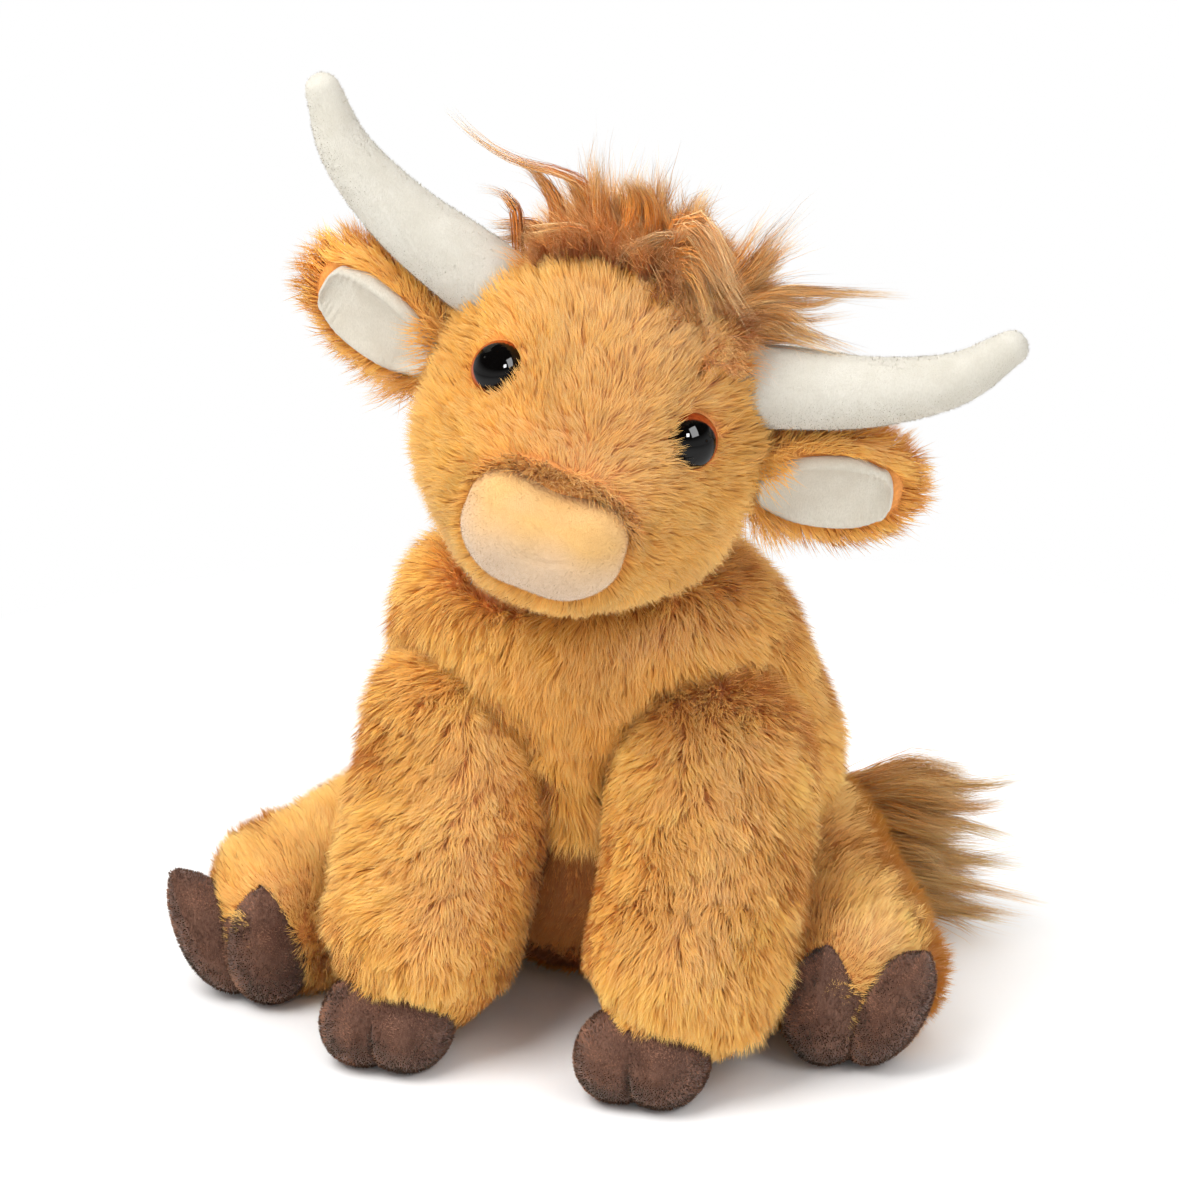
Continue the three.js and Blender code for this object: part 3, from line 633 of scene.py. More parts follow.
def finish_surface(tree, shader, colour, rough, relief=None, specular=None, sheen=None):
    """Sets colour, roughness, bump (height, strength, depth), specular level and sheen (weight, roughness)."""
    tree.links.new(colour, shader.inputs["Base Color"])
    if isinstance(rough, bpy.types.NodeSocket):
        tree.links.new(rough, shader.inputs["Roughness"])
    else:
        shader.inputs["Roughness"].default_value = rough
    if relief:
        bump = add(tree, "ShaderNodeBump", dict(zip(("Height", "Strength", "Distance"), relief)))
        tree.links.new(bump.outputs[0], shader.inputs["Normal"])
    if specular is not None:
        shader.inputs["Specular IOR Level"].default_value = specular
    if sheen:
        shader.inputs["Sheen Weight"].default_value, shader.inputs["Sheen Roughness"].default_value = sheen


def fur_material(name, sheen, rough):
    material, tree, shader = node_material(name)
    tint = tint_of(tree)
    patch = spread(tree, noise(tree, 60), 0.35, 0.65)
    colour = mixed(tree, patch, tint, darker(tree, tint, (0.95, 0.89, 0.82)))
    finish_surface(tree, shader, colour, rough, None, 0.3, (sheen, 0.4))
    shader.inputs["Sheen Tint"].default_value = (1, 0.86, 0.66, 1)
    return material


def velour(name, base, worn, sheen, nap, shift):
    """Short cut pile: a fine grain, brushed patches and a soft sheen."""
    material, tree, shader = node_material(name)
    base, worn = tuple(srgb(*base)), tuple(srgb(*worn))
    grain = noise(tree, nap, 3.0, 0.7, (1, 1, 0.35))
    brushed = noise(tree, 75, 5.0, 0.6)
    colour = mixed(tree, spread(tree, brushed, 0.36, 0.66), base, worn)
    dark = tuple(c * (1 - 2.6 * shift) for c in base)
    colour = mixed(tree, spread(tree, grain, 0.42, 0.62, 0.0, 0.55), colour, dark)
    rough = spread(tree, grain, 0.3, 0.7, 0.78, 0.98)
    finish_surface(tree, shader, colour, rough, (grain, 0.5, 0.0006), 0.2, (sheen, 0.5))
    return material


def peach_material(name):
    """The nose's velour, on a tint that is warmer above and paler below as painted light."""
    material, tree, shader = node_material(name)
    tint = tint_of(tree)
    grain = noise(tree, 2400, 3.0, 0.7)
    blotch = spread(tree, noise(tree, 45, 3.0), 0.35, 0.7)
    colour = mixed(tree, blotch, tint, darker(tree, tint, (1.0, 0.95, 0.9)))
    colour = mixed(tree, spread(tree, grain, 0.4, 0.65, 0, 0.35), colour, darker(tree, tint, (0.9, 0.78, 0.68)))
    rough = spread(tree, grain, 0.3, 0.7, 0.8, 0.98)
    finish_surface(tree, shader, colour, rough, (grain, 0.35, 0.0005), 0.2, (0.35, 0.5))
    return material


def eye_material(name):
    """A black pupil in an amber ring, under a clear gloss."""
    material, tree, shader = node_material(name)
    tint = tint_of(tree)
    streaks = spread(tree, noise(tree, 900, 3.0), 0.35, 0.65)
    finish_surface(tree, shader, mixed(tree, streaks, tint, darker(tree, tint, (0.7, 0.6, 0.5))), 0.04, None, 0.2)
    return material


def grained(name, grain, low, high, rough, relief=None, shares=(0.35, 0.65)):
    """Two colours that a noise of (scale, detail, roughness) mixes, with a bump of (strength, depth) from it."""
    material, tree, shader = node_material(name)
    height = noise(tree, *grain)
    relief = relief and (height, *relief)
    finish_surface(tree, shader, mixed(tree, spread(tree, height, *shares), low, high), rough, relief)
    return material


def woven_material(name):
    material, tree, shader = node_material(name)
    where = add(tree, "ShaderNodeTexCoord").outputs["Object"]
    warp, weft = (
        add(tree, "ShaderNodeTexWave", {"Vector": where, "Scale": 500, "Distortion": 0.4}, bands_direction=way)
        for way in "XY")
    crossed = {0: warp.outputs[1], 1: weft.outputs[1]}
    weave = add(tree, "ShaderNodeMath", crossed, operation="MULTIPLY").outputs[0]
    colour = mixed(tree, weave, (0.6, 0.56, 0.48), (0.84, 0.8, 0.72))
    finish_surface(tree, shader, colour, 0.9, (weave, 0.6, 0.0004))
    return material


MATERIALS = {
    "fur": fur_material("plush_pile", 0.25, 0.6),
    "hair": fur_material("long_hair", 0.15, 0.45),
    "nap": fur_material("velour_nap", 0.2, 0.85),
    "cream": velour("cream_velour", (200, 195, 182), (209, 205, 194), 0.15, 2600, 0.03),
    "lining": velour("lining_velour", (196, 188, 172), (208, 202, 188), 0.15, 2600, 0.04),
    "hoof": velour("hoof_velour", (92, 58, 42), (122, 86, 68), 0.3, 1500, 0.16),
    "peach": peach_material("nose_velour"),
    "eye": eye_material("glossy_eye"),
    "backing": grained("plush_backing", (700, 4.0, 0.6), tuple(srgb(206, 130, 56)), tuple(srgb(232, 156, 76)), 0.95,
                       (0.6, 0.0006)),
    "stuffing": grained("fibre_fill", (900, 8.0, 0.75), (0.9, 0.89, 0.86), (0.98, 0.975, 0.96), 1.0, (0.8, 0.001)),
    "washer": grained("washer_plastic", (1400, 2.0), (0.72, 0.72, 0.7), (0.82, 0.82, 0.8), 0.45, shares=(0.4, 0.6)),
    "pouch": woven_material("pouch_cloth"),
}


def skin_piece(name, skin, material, body, nodes, tint=None):
    verts = skin.verts.copy()
    verts[:, 2] = np.maximum(verts[:, 2], 0.1)
    piece = dress(mesh_object(name, verts, skin.tris, tint), MATERIALS[material], body)
    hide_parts(*nodes)
    return piece


# Camera, floor and light

def outward(azimuth, elevation):
    """The way from the toy to a place seen at these angles in degrees."""
    a, e = math.radians(azimuth), math.radians(elevation)
    return Vector((math.sin(a) * math.cos(e), -math.cos(a) * math.cos(e), math.sin(e)))


def camera():
    back, distance = outward(18, 20), 1.6
    data = bpy.data.cameras.new("camera")
    data.lens, data.sensor_width = 146.7, 36
    eye = bpy.data.objects.new("camera", data)
    bpy.context.scene.collection.objects.link(eye)
    eye.location = Vector((0, -0.034, 0.1455)) + back * distance
    eye.rotation_euler = back.to_track_quat("Z", "Y").to_euler()
    bpy.context.scene.camera = eye


def floor():
    plane = mesh_object("floor", [(-6000, -6000, 0), (6000, -6000, 0), (6000, 6000, 0), (-6000, 6000, 0)],
                        [(0, 1, 2), (0, 2, 3)], smooth=False)
    material, tree, shader = node_material("pale_floor")
    patch = spread(tree, noise(tree, 3, 2.0), 0.3, 0.7)
    tree.links.new(mixed(tree, patch, (0.965, 0.965, 0.96), (0.975, 0.975, 0.97)), shader.inputs["Base Color"])
    shader.inputs["Roughness"].default_value = 0.9
    where = add(tree, "ShaderNodeTexCoord").outputs["Object"]
    away = add(tree, "ShaderNodeVectorMath", {0: where}, operation="LENGTH").outputs["Value"]
    seen = add(tree, "ShaderNodeLightPath").outputs["Is Camera Ray"]
    far = add(tree, "ShaderNodeMath", {0: seen, 1: spread(tree, away, 0.17, 0.42)}, operation="MULTIPLY").outputs[0]
    white = add(tree, "ShaderNodeEmission", {"Color": (1, 1, 1, 1), "Strength": 1.0})
    both = add(tree, "ShaderNodeMixShader", {0: far, 1: shader.outputs[0], 2: white.outputs[0]})
    tree.links.new(both.outputs[0], tree.nodes["Material Output"].inputs["Surface"])
    plane.data.materials.append(material)
    plane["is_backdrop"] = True


def world():
    scene_world = bpy.data.worlds.new("studio")
    bpy.context.scene.world = scene_world
    scene_world.use_nodes = True
    tree = scene_world.node_tree
    path = add(tree, "ShaderNodeLightPath")
    seen = path.outputs["Is Camera Ray"]
    for ray in ("Is Glossy Ray", "Is Transmission Ray"):
        seen = add(tree, "ShaderNodeMath", {0: seen, 1: path.outputs[ray]}, operation="MAXIMUM").outputs[0]
    soft = add(tree, "ShaderNodeBackground", {"Color": (1, 1, 1, 1), "Strength": 0.76})
    height = add(tree, "ShaderNodeSeparateXYZ", {0: add(tree, "ShaderNodeTexCoord").outputs["Generated"]}).outputs[2]
    wall = mixed(tree, spread(tree, height, 0.16, 0.42), (1, 1, 1), (0.06, 0.06, 0.06))
    white = add(tree, "ShaderNodeBackground", {"Color": wall, "Strength": 1.0})
    both = add(tree, "ShaderNodeMixShader", {0: seen, 1: soft.outputs[0], 2: white.outputs[0]})
    tree.links.new(both.outputs[0], tree.nodes["World Output"].inputs["Surface"])


def lamp(name, away, size, watts, diffuse=True, glossy=True):
    """A soft lamp that shines on the middle of the toy from a way off."""
    data = bpy.data.lights.new(name, "AREA")
    data.shape, data.size, data.size_y, data.energy = "RECTANGLE", size[0], size[1], watts
    light = bpy.data.objects.new(name, data)
    bpy.context.scene.collection.objects.link(light)
    light.location = Vector((0, -0.03, 0.15)) + away
    light.visible_diffuse, light.visible_glossy = diffuse, glossy
    light.rotation_euler = away.to_track_quat("Z", "Y").to_euler()


def lights():
    """Three lamps that light the toy, and two that only show in the eyes."""
    lamp("key", 1.4 * outward(-36, 54), (0.9, 0.85), 17, glossy=False)
    lamp("fill", 1.4 * outward(58, 37), (0.5, 0.6), 3.4, glossy=False)
    lamp("top", 1.5 * outward(150, 70), (1.2, 1.0), 4, glossy=False)
    lamp("window_glint", 1.4 * outward(60, 44), (0.6, 0.8), 26, diffuse=False)
    lamp("flash_glint", 1.5 * outward(29, 38), (0.28, 0.28), 22, diffuse=False)


# Where the skins are

def torso_skin():
    def fill(p):
        return p[2] > 161 or np.linalg.norm(p - NECK_CENTRE) < NECK_RADIUS + 4

    skin = star_skin("torso", vec(0, -13, 60.5), fill)
    over = np.maximum(skin.verts[:, 2] - 158, 0)
    skin.verts[:, 2] -= over - 5 * (1 - np.exp(-over / 5))
    return Skin(skin.verts, skin.tris)


def head_skin():
    def fill(p):
        return np.linalg.norm(p - NECK_CENTRE) < NECK_RADIUS + 4

    skin = star_skin("head", HEAD_CENTRE, fill)
    local = to_head(skin.verts)
    crown = np.clip((local[:, 2] - 4) / 36, 0, 1) ** 1.1 * np.clip((local[:, 1] + 40) / 24, 0, 1)
    return Skin(from_head(local * (1 + 0.2 * crown)[:, None]), skin.tris)


HORN_SHARES = dict(x=[34.5, 54.05, 79.35, 101.8, 115], y=[0, -0.92, -2.76, -4.6, -5.52], z=[28, 34.4, 43.6, 57.4, 74])
HORN_RADII = [13.5, 13.18, 11.1, 8.4, 5.5]
EAR_RADII = vec(0.62, 0.95, 1, 0.72) * 18.5
EAR_LIFT = vec(0, -math.cos(math.radians(20)), -math.sin(math.radians(20)))


def horn_tube(mirror):
    path = np.stack([mirror * vec(*HORN_SHARES["x"]), vec(*HORN_SHARES["y"]), vec(*HORN_SHARES["z"])], 1)
    return Tube(from_head(path), HORN_RADII, way_from_head([0, 1, 0]))


def ear_path(mirror):
    root = vec(mirror * 54.229, 4.473, 0)
    return np.array([root + vec(mirror * 47 * s, 8 * s, 13 * s) for s in (0, 0.3, 0.65, 0.86)])


def ear_tube(mirror):
    return Tube(from_head(ear_path(mirror)), EAR_RADII, way_from_head(EAR_LIFT), flat=10 / 37, blunt=0.4)


def lining_tube(mirror):
    path = ear_path(mirror)
    path = mix(path, path[2], np.array([0.14, 0.14, 0, 0.14])[:, None]) + EAR_LIFT * 4.4
    return Tube(from_head(path), EAR_RADII * 28 / 37, way_from_head(EAR_LIFT), flat=6 / 28, blunt=0.4)


def leg_tube(name):
    leg = LEGS[name]
    lift = (0, 1, 0) if name.startswith("front") else (0, 0, 1)
    return Tube(leg["path"], leg["radii"], lift, blunt=1.0 if name.startswith("front") else 0.9)


NOSE_CENTRE = vec(0, -57, -20)
NOSE_LOBES = [(from_head(NOSE_CENTRE + vec(m * 7.15, 0, 0)), vec(19.8, 13, 18), HEAD_AXES) for m in (-1, 1)]
EYES = {m: (from_head(vec(m * 32.51, -31.39, 17.39)), way_from_head(unit(vec(m * 0.635, -0.613, 0.47))))
        for m in (-1, 1)}
SIDES = {1: "left", -1: "right"}


def hoof_lobes(name):
    kind = name.split("_")[0]
    return [(vec(*toe), TOE_RADII[kind], np.eye(3)) for toe in LEGS[name]["toes"]]


# Blades to a square millimetre of each skin
DENSITY = dict(torso=3.3, neck=3.0, head=4.0, front=3.4, hind=4.0, ear=3.4, tail=2.4, forelock=5.2)
# Lengths of pile: on body and legs, on undersides, at the hooves, and on the belly between the legs
BODY_PILE, UNDER_PILE, HOOF_PILE, BELLY_PILE = 11.5, 7, 5, 5
# On the bib above the belly, at the nape, over the nose, and behind the ears
BIB_PILE, NAPE_PILE, MUZZLE_PILE, EAR_PILE = 15, 14, 9.5, 12.5
SHOULDER_HEIGHT, BIB_HEIGHT, BELLY_TOP = 104, 81, 71


def build_torso():
    """The pile lies downward; it is longer on the bib and the nape, and short between the legs, with painted shade
    there and a painted shadow of the head under the chin.
    """
    skin = torso_skin()
    skin_piece("torso_skin", skin, "backing", "torso", ["torso"])
    rng = np.random.default_rng(11)
    p, n = skin.sample(DENSITY["torso"], rng)
    near = np.full(len(p), 9.0)
    for name in LEGS:
        place, share = leg_tube(name).nearest(p)
        near = np.minimum(near, (share - 1) * 30)
    flow = vec(0, 0, -1) + np.concatenate([(p - vec(0, -15, 0))[:, :2] * 0.006, np.zeros((len(p), 1))], 1)
    under = n[:, 2] < -0.6
    flow[under] = np.concatenate([p[under, :2] * 0.02, np.zeros((under.sum(), 1))], 1)
    beside_leg = np.where(p[:, 2] < SHOULDER_HEIGHT, mix(0.62, 1, np.clip(near / 6, 0, 1)), 1)
    length = np.where(under, UNDER_PILE, BODY_PILE) * beside_leg
    between = (np.abs(p[:, 0] - 4) < 26) & (p[:, 1] < -30)
    bib = between & (np.abs(p[:, 2] - BIB_HEIGHT) < 10)
    below = between & (p[:, 2] <= BELLY_TOP)
    length = np.where(bib, BIB_PILE, np.where(below, BELLY_PILE, length))
    # Painted shade: the pile below the belly top between the legs is much darker, and the chest under the chin is
    # darker as a painted shadow of the head.
    chin_shadow = np.exp(-(((p[:, 0] - 14) / 34) ** 2) - ((p[:, 2] - 126) / 20) ** 2)[:, None] * (p[:, 1:2] < -40)
    tone = np.where(below[:, None], vec(0.5, 0.34, 0.27), 1 - chin_shadow * vec(0.16, 0.24, 0.32))
    nape = np.clip(1 - np.linalg.norm(p - NECK_CENTRE, axis=1) / 48, 0, 1)
    nape *= (n[:, 2] > 0.3) & (p[:, 1] > NECK_CENTRE[1] - 12)
    length = mix(length, NAPE_PILE, np.clip(3 * nape, 0, 1))
    keep = (p[:, 2] > 1.2) & (rng.random(len(p)) > np.where(near < 0, 0.55, 0))
    fur("torso_fur", "torso", p[keep], n[keep], flow[keep], length[keep], 21, tone=tone[keep])
    return skin


def build_neck():
    verts, tris = icosphere(5)
    skin = Skin(NECK_CENTRE + verts * NECK_RADIUS, tris)
    skin_piece("neck_skin", skin, "backing", "neck", ["neck"])
    rng = np.random.default_rng(12)
    p, n = skin.sample(DENSITY["neck"], rng)
    length = np.where(p[:, 1] > NECK_CENTRE[1] - 6, NAPE_PILE + 1, UNDER_PILE)
    fur("neck_fur", "neck", p, n, np.tile(vec(0, 0, -1), (len(p), 1)), length, 22, lean=(38, 66))


EYE_CLEARING = 9.2


def build_head():
    """The pile spreads from the nose; it is short on the face, and stands up over the nose and between the eyes."""
    skin = head_skin()
    skin_piece("head_skin", skin, "backing", "head", ["head"])
    rng = np.random.default_rng(13)
    p, n = skin.sample(DENSITY["head"], rng)
    local = to_head(p)
    full = fullness(p, NOSE_LOBES)
    keep = full < 1.5
    off_eye = np.full(len(p), 99.0)
    for mirror in SIDES:
        eye, way = EYES[mirror]
        arm = p - eye
        aside = np.linalg.norm(arm - (arm @ way)[:, None] * way, axis=1)
        off_eye = np.where((arm @ way) > -14, np.minimum(off_eye, aside), off_eye)
        keep &= horn_tube(mirror).nearest(p)[1] > 0.93
    keep &= off_eye > EYE_CLEARING
    p, n, local, full, off_eye = p[keep], n[keep], local[keep], full[keep], off_eye[keep]
    from_nose = local - vec(0, -66, -14)
    flow = unit(from_nose) + vec(0, 0, -0.12)
    back = np.clip((local[:, 1] - 5) / 40, 0, 1)[:, None]
    flow = mix(flow, np.tile(vec(0, 0, -1), (len(p), 1)), back)
    far = np.linalg.norm(from_nose, axis=1)
    length = np.clip(4.5 + 0.15 * (far - 18), 4.5, BODY_PILE)
    low_back = np.clip((-local[:, 2] - 6) / 20, 0, 1) * np.clip(local[:, 1] / 15, 0, 1)
    length = length + 5 * low_back
    over_nose = ((local[:, 2] > -13) & (full > 0.05))[:, None]
    messy = rng.normal(0, 0.55, (len(p), 3)) + vec(0, -0.6, -0.6)
    flow = way_from_head(np.where(over_nose, messy, flow))
    length = np.where(over_nose[:, 0], MUZZLE_PILE, length)
    inner = np.abs(local[:, 0]) < 32.5
    close_in = np.where(off_eye < 13, np.where(local[:, 0] > 0, 9.0, 6.0), 7.5 + 0.4 * (off_eye - 13))
    beside_eye = np.where(inner, close_in, 3.6 + 0.6 * (off_eye - EYE_CLEARING))
    length = np.minimum(length, beside_eye)
    close = np.maximum(np.clip((17 - off_eye) / 5, 0, 1) * inner, over_nose[:, 0])
    lean = (22 - 14 * close, 58 - 24 * close)
    # In a crease beside the muzzle on each side, the pile is shorter, and its colour is darkened as painted shade.
    crease = np.full(len(p), 99.0)
    for mirror in SIDES:
        start, end = vec(mirror * 27, -50, -8), vec(mirror * 24, -45, -38)
        crease = np.minimum(crease, from_segment(local, start, end))
    fold = np.exp(-((crease / 3.2) ** 2))
    fur("head_fur", "head", p, n, flow, length * (1 - 0.3 * fold), 23, cell=4.4, pull=0.27, wander=28, lean=lean,
        width=0.26, tone=np.tile(0.8 - 0.2 * fold[:, None], 3))
    return skin


def build_leg(name, torso, hoof, seed):
    """The pile lies toward the hoof; on the hind legs it also stands up, and is paler."""
    tube = leg_tube(name)
    skin = tube.skin()
    skin_piece(name + "_skin", skin, "backing", name, [name])
    rng = np.random.default_rng(seed)
    p, n = skin.sample(DENSITY[name.split("_")[0]], rng)
    place, _ = tube.nearest(p)
    flow = tube.ways[place] + vec(0, 0, -0.35)
    to_hoof = -depth_in(p, hoof)
    deep = depth_in(p, torso) > 5
    keep = (to_hoof > -0.5) & ~deep & (p[:, 2] > 1.0)
    length = np.clip(HOOF_PILE + 0.55 * to_hoof, HOOF_PILE, BODY_PILE)
    length = np.where(n[:, 2] < -0.5, np.minimum(length, UNDER_PILE), length)
    if name.startswith("front"):
        inward = n[:, 0] * (-1 if name.endswith("left") else 1)
        length *= 1 - 0.55 * np.clip((inward - 0.25) / 0.5, 0, 1)
    lean, ramp = (22, 60), FUR
    if name.startswith("hind"):
        flow += vec(0, 0.9, 1.2) * np.clip(n[:, 2:] + 0.45, 0, 1)
        lean, ramp = (10, 42), PALE_FUR
    fur(name + "_fur", name, p[keep], n[keep], flow[keep], length[keep], seed + 50, lean=lean, ramp=ramp)


def front_hoof_skin(name):
    """Two toes under one soft dome, with a seam between them low in front."""
    lobes = hoof_lobes(name)
    core = np.mean([c for c, _, _ in lobes], axis=0)
    lobes.append((core, vec(14, 17.2, 14), np.eye(3)))
    skin = lobe_skin(lobes, core, 7, softness=3)
    arm = skin.verts - core
    low = np.clip(0.75 - arm[:, 2] / 13, 0, 1) * np.clip(1 - arm[:, 1] / 4, 0, 1)
    seam = 1.6 * np.exp(-((arm[:, 0] / 0.9) ** 2)) + 1.9 * np.exp(-np.abs(arm[:, 0] / 3.0))
    skin.verts -= skin.normals * (seam * low)[:, None]
    return Skin(skin.verts, skin.tris)


def hind_hoof_skin(name, mirror):
    """Two shells side by side, each drawn up into a blunt point with a ridge below it; the outer one leans out."""
    skins = []
    ways, tris = icosphere(6)
    toes = [vec(*toe) for toe in LEGS[name]["toes"]]
    for centre in (*toes, np.mean(toes, axis=0)):
        outer, inner = abs(centre[0]) > 110, abs(centre[0]) < 101.5
        shape = OUTER_SHELL if outer else INNER_SHELL if inner else WEB
        centre = centre + shape["shift"] * vec(mirror, 1, 1)
        lean = Matrix.Rotation(math.radians(shape["lean"]) * mirror, 3, "Y")
        radii, point = shape["radii"], unit(vec(0, -0.18, 1))
        reach = 1 / np.linalg.norm(ways / radii, axis=1)
        angle = np.degrees(np.arccos(np.clip(ways @ point, -1, 1)))
        reach *= 1 + shape["peak"] * np.exp(-((angle / shape["spread"]) ** 1.3))
        across = unit(np.cross(point, vec(0, -1, 0)))
        ridge = np.exp(-((np.degrees(np.arcsin(np.clip(ways @ across, -1, 1))) / 4) ** 2))
        reach *= 1 + 0.045 * ridge * (ways @ vec(0, -0.8, 0.6) > 0) * np.clip(1 - angle / 110, 0, 1)
        skins.append((centre + (ways * reach[:, None]) @ np.array(lean).T, tris))
    verts = np.vstack([v for v, _ in skins])
    return Skin(verts, np.vstack([t + k * len(ways) for k, (_, t) in enumerate(skins)])), [Skin(v, t) for v, t in skins]


HOOF_NAP = [srgb(74, 42, 28), srgb(160, 114, 90)]


def build_hoof(name, seed):
    hoof = LEGS[name]["hoof"]
    mirror = 1 if name.endswith("left") else -1
    if name.startswith("front"):
        skin = front_hoof_skin(name)
        toes = [skin]
    else:
        skin, toes = hind_hoof_skin(name, mirror)
    skin_piece(hoof + "_velour", skin, "hoof", name, [hoof])
    leg = leg_tube(name).skin()
    for k, toe in enumerate(toes):
        others = [other for other in toes if other is not toe]

        def keep(p):
            out = (depth_in(p, leg) < 1) & (p[:, 2] > 0.4)
            for other in others:
                out &= depth_in(p, other) < 0.3
            return out

        pile(f"{hoof}_nap_{k + 1}", name, toe, vec(0, 0.2, 1), HOOF_NAP, seed + k, keep=keep)
    return skin


CREAM_NAP = [srgb(196, 191, 178), srgb(214, 210, 199)]


def cupped(tube):
    """A lining pressed in along its middle, with its edge standing up a little."""
    skin = tube.skin()
    place, _ = tube.nearest(skin.verts)
    arm = skin.verts - tube.spine[place]
    aside = (arm * tube.side[place]).sum(1) / tube.radii[place]
    edge = np.hypot(aside, (place / (len(tube.spine) - 1) * 2 - 1) * 0.8)
    front = (arm * tube.up[place]).sum(1) > 0
    press = 1.9 * np.exp(-(((edge - 0.86) / 0.16) ** 2)) - 1.9 * np.clip(1 - (edge / 0.8) ** 2, 0, 1)
    return Skin(skin.verts + tube.up[place] * (press * front)[:, None], skin.tris)


def build_horns_and_ears():
    for mirror, side in SIDES.items():
        horn = horn_tube(mirror)
        skin_piece(f"horn_{side}_velour", horn.skin(), "cream", "head", [f"horn_{side}"])
        nap = horn.ways[-1] * 0.6 + way_from_head([0, 0, 1])
        pile(f"horn_{side}_nap", "head", horn.skin(), nap, CREAM_NAP, 200 + mirror, length=0.75, width=0.13,
             per_mm2=2.2, patch=16, lie=24)
        ear = ear_tube(mirror)
        skin_piece(f"ear_{side}_skin", ear.skin(), "backing", f"ear_{side}", [f"ear_{side}"])
        lining = lining_tube(mirror)
        skin_piece(f"ear_lining_{side}_velour", cupped(lining), "lining", f"ear_{side}",
                   [f"ear_lining_{side}"])
        rng = np.random.default_rng(60 + mirror)
        p, n = ear.skin(0.3).sample(DENSITY["ear"], rng)
        place, _ = ear.nearest(p)
        front = n @ way_from_head(EAR_LIFT) > 0.35
        _, within = lining.nearest(p)
        keep = ~(front & (within < 1.0))
        outward = unit(p - ear.spine[22])
        flow = ear.ways[place] * 0.8 + outward
        length = np.where(front, 8.0, EAR_PILE)
        root = front & (place < 14)
        flow = np.where(root[:, None], ear.ways[place] + 0.35 * rng.normal(0, 1, (len(p), 3)), flow)
        length = np.where(root, 17, length)
        fur(f"ear_{side}_fur", f"ear_{side}", p[keep], n[keep], flow[keep], length[keep], 80 + mirror, cell=5,
            lean=(26, 56), wander=22)


def nose_tint(height):
    """Pale below, warmer toward the top: painted light, for the light that falls on the pad's top and the warm colour
    it takes from the fur over it.
    """
    return mix(srgb(208, 185, 160), srgb(222, 178, 112), height**1.5)


def build_nose():
    skin = lobe_skin(NOSE_LOBES, from_head(NOSE_CENTRE), 6)
    q = to_head(skin.verts) - NOSE_CENTRE
    wider = np.clip((q[:, 2] - 2) / 14, 0, 1)
    narrower = np.clip((-q[:, 2] - 6) / 12, 0, 1)
    q[:, 0] *= 0.97 + 0.2 * wider**1.4 - 0.04 * narrower
    corner = 0.86 + 0.14 * np.clip(np.abs(q[:, 0]) / 17, 0, 1) ** 2
    q[:, 2] = np.where(q[:, 2] > 5, 5 + (q[:, 2] - 5) * corner, q[:, 2])
    for side in (-1, 1):
        spot = ((q[:, [0, 2]] - vec(side * 11, -3)) ** 2).sum(1)
        q[:, 1] -= 0.7 * np.exp(-spot / 45) * (q[:, 1] < 0)
    q[:, 1] += 0.4 * np.exp(-((q[:, 0] / 4) ** 2) - ((q[:, 2] + 4) / 9) ** 2) * (q[:, 1] < 0)
    line = q[:, 2] + 3.5 - 0.028 * q[:, 0] ** 2
    q[:, 1] += 0.35 * np.exp(-((line / 1.1) ** 2) - (q[:, 0] / 11) ** 4) * (q[:, 1] < 0)
    skin = Skin(from_head(q + NOSE_CENTRE), skin.tris)
    # The tint's change from pale below to warm above is painted light.
    height = np.clip((q[:, 2] + 14) / 22, 0, 1)[:, None]
    patchy = np.clip(height + 0.12 * drift(q, 16, 5)[:, None], 0, 1)
    skin_piece("nose_pad_velour", skin, "peach", "head", ["nose_pad"], nose_tint(patchy))
    pile("nose_pad_nap", "head", skin, way_from_head([0, 0, -1]), nose_tint, 190, length=0.6, width=0.13,
         per_mm2=6, patch=14, lie=30)


EYE_RADIUS, EYE_HEIGHT, IRIS_RADIUS = 9.0, 7.0, 8.0
IRIS_SHIFT = {1: 3.5, -1: 3.8}


def build_eyes():
    """Domes whose black pupil sits a little aside, so that an amber rim shows on the outer edge."""
    rings, sides = 28, 48
    for mirror, side in SIDES.items():
        centre, way = EYES[mirror]
        across = unit(np.cross(vec(0, 0, 1), way))
        up = np.cross(way, across)
        angle = np.linspace(0, 2 * math.pi, sides, endpoint=False)
        rows, tints = [], []
        for i in range(rings):
            a = math.pi / 2 * i / (rings - 1)
            r, h = EYE_RADIUS * math.cos(a), EYE_HEIGHT * math.sin(a)
            rows.append(centre + way * h + (np.cos(angle)[:, None] * across + np.sin(angle)[:, None] * up) * r)
            aside = np.hypot(np.cos(angle) * r + mirror * IRIS_SHIFT[mirror], np.sin(angle) * r + 0.8)
            iris = np.clip((aside - IRIS_RADIUS) / 0.3, 0, 1)[:, None]
            tints.append(mix(srgb(5, 4, 4), srgb(166, 74, 30), iris))
        rows.insert(0, rows[0] - way * 2)
        tints.insert(0, tints[0])
        dome = Skin(np.vstack(rows), ring_tris(len(rows), sides)[:, ::-1])
        skin_piece(f"eye_{side}_dome", dome, "eye", "head", [f"eye_{side}"], np.vstack(tints))


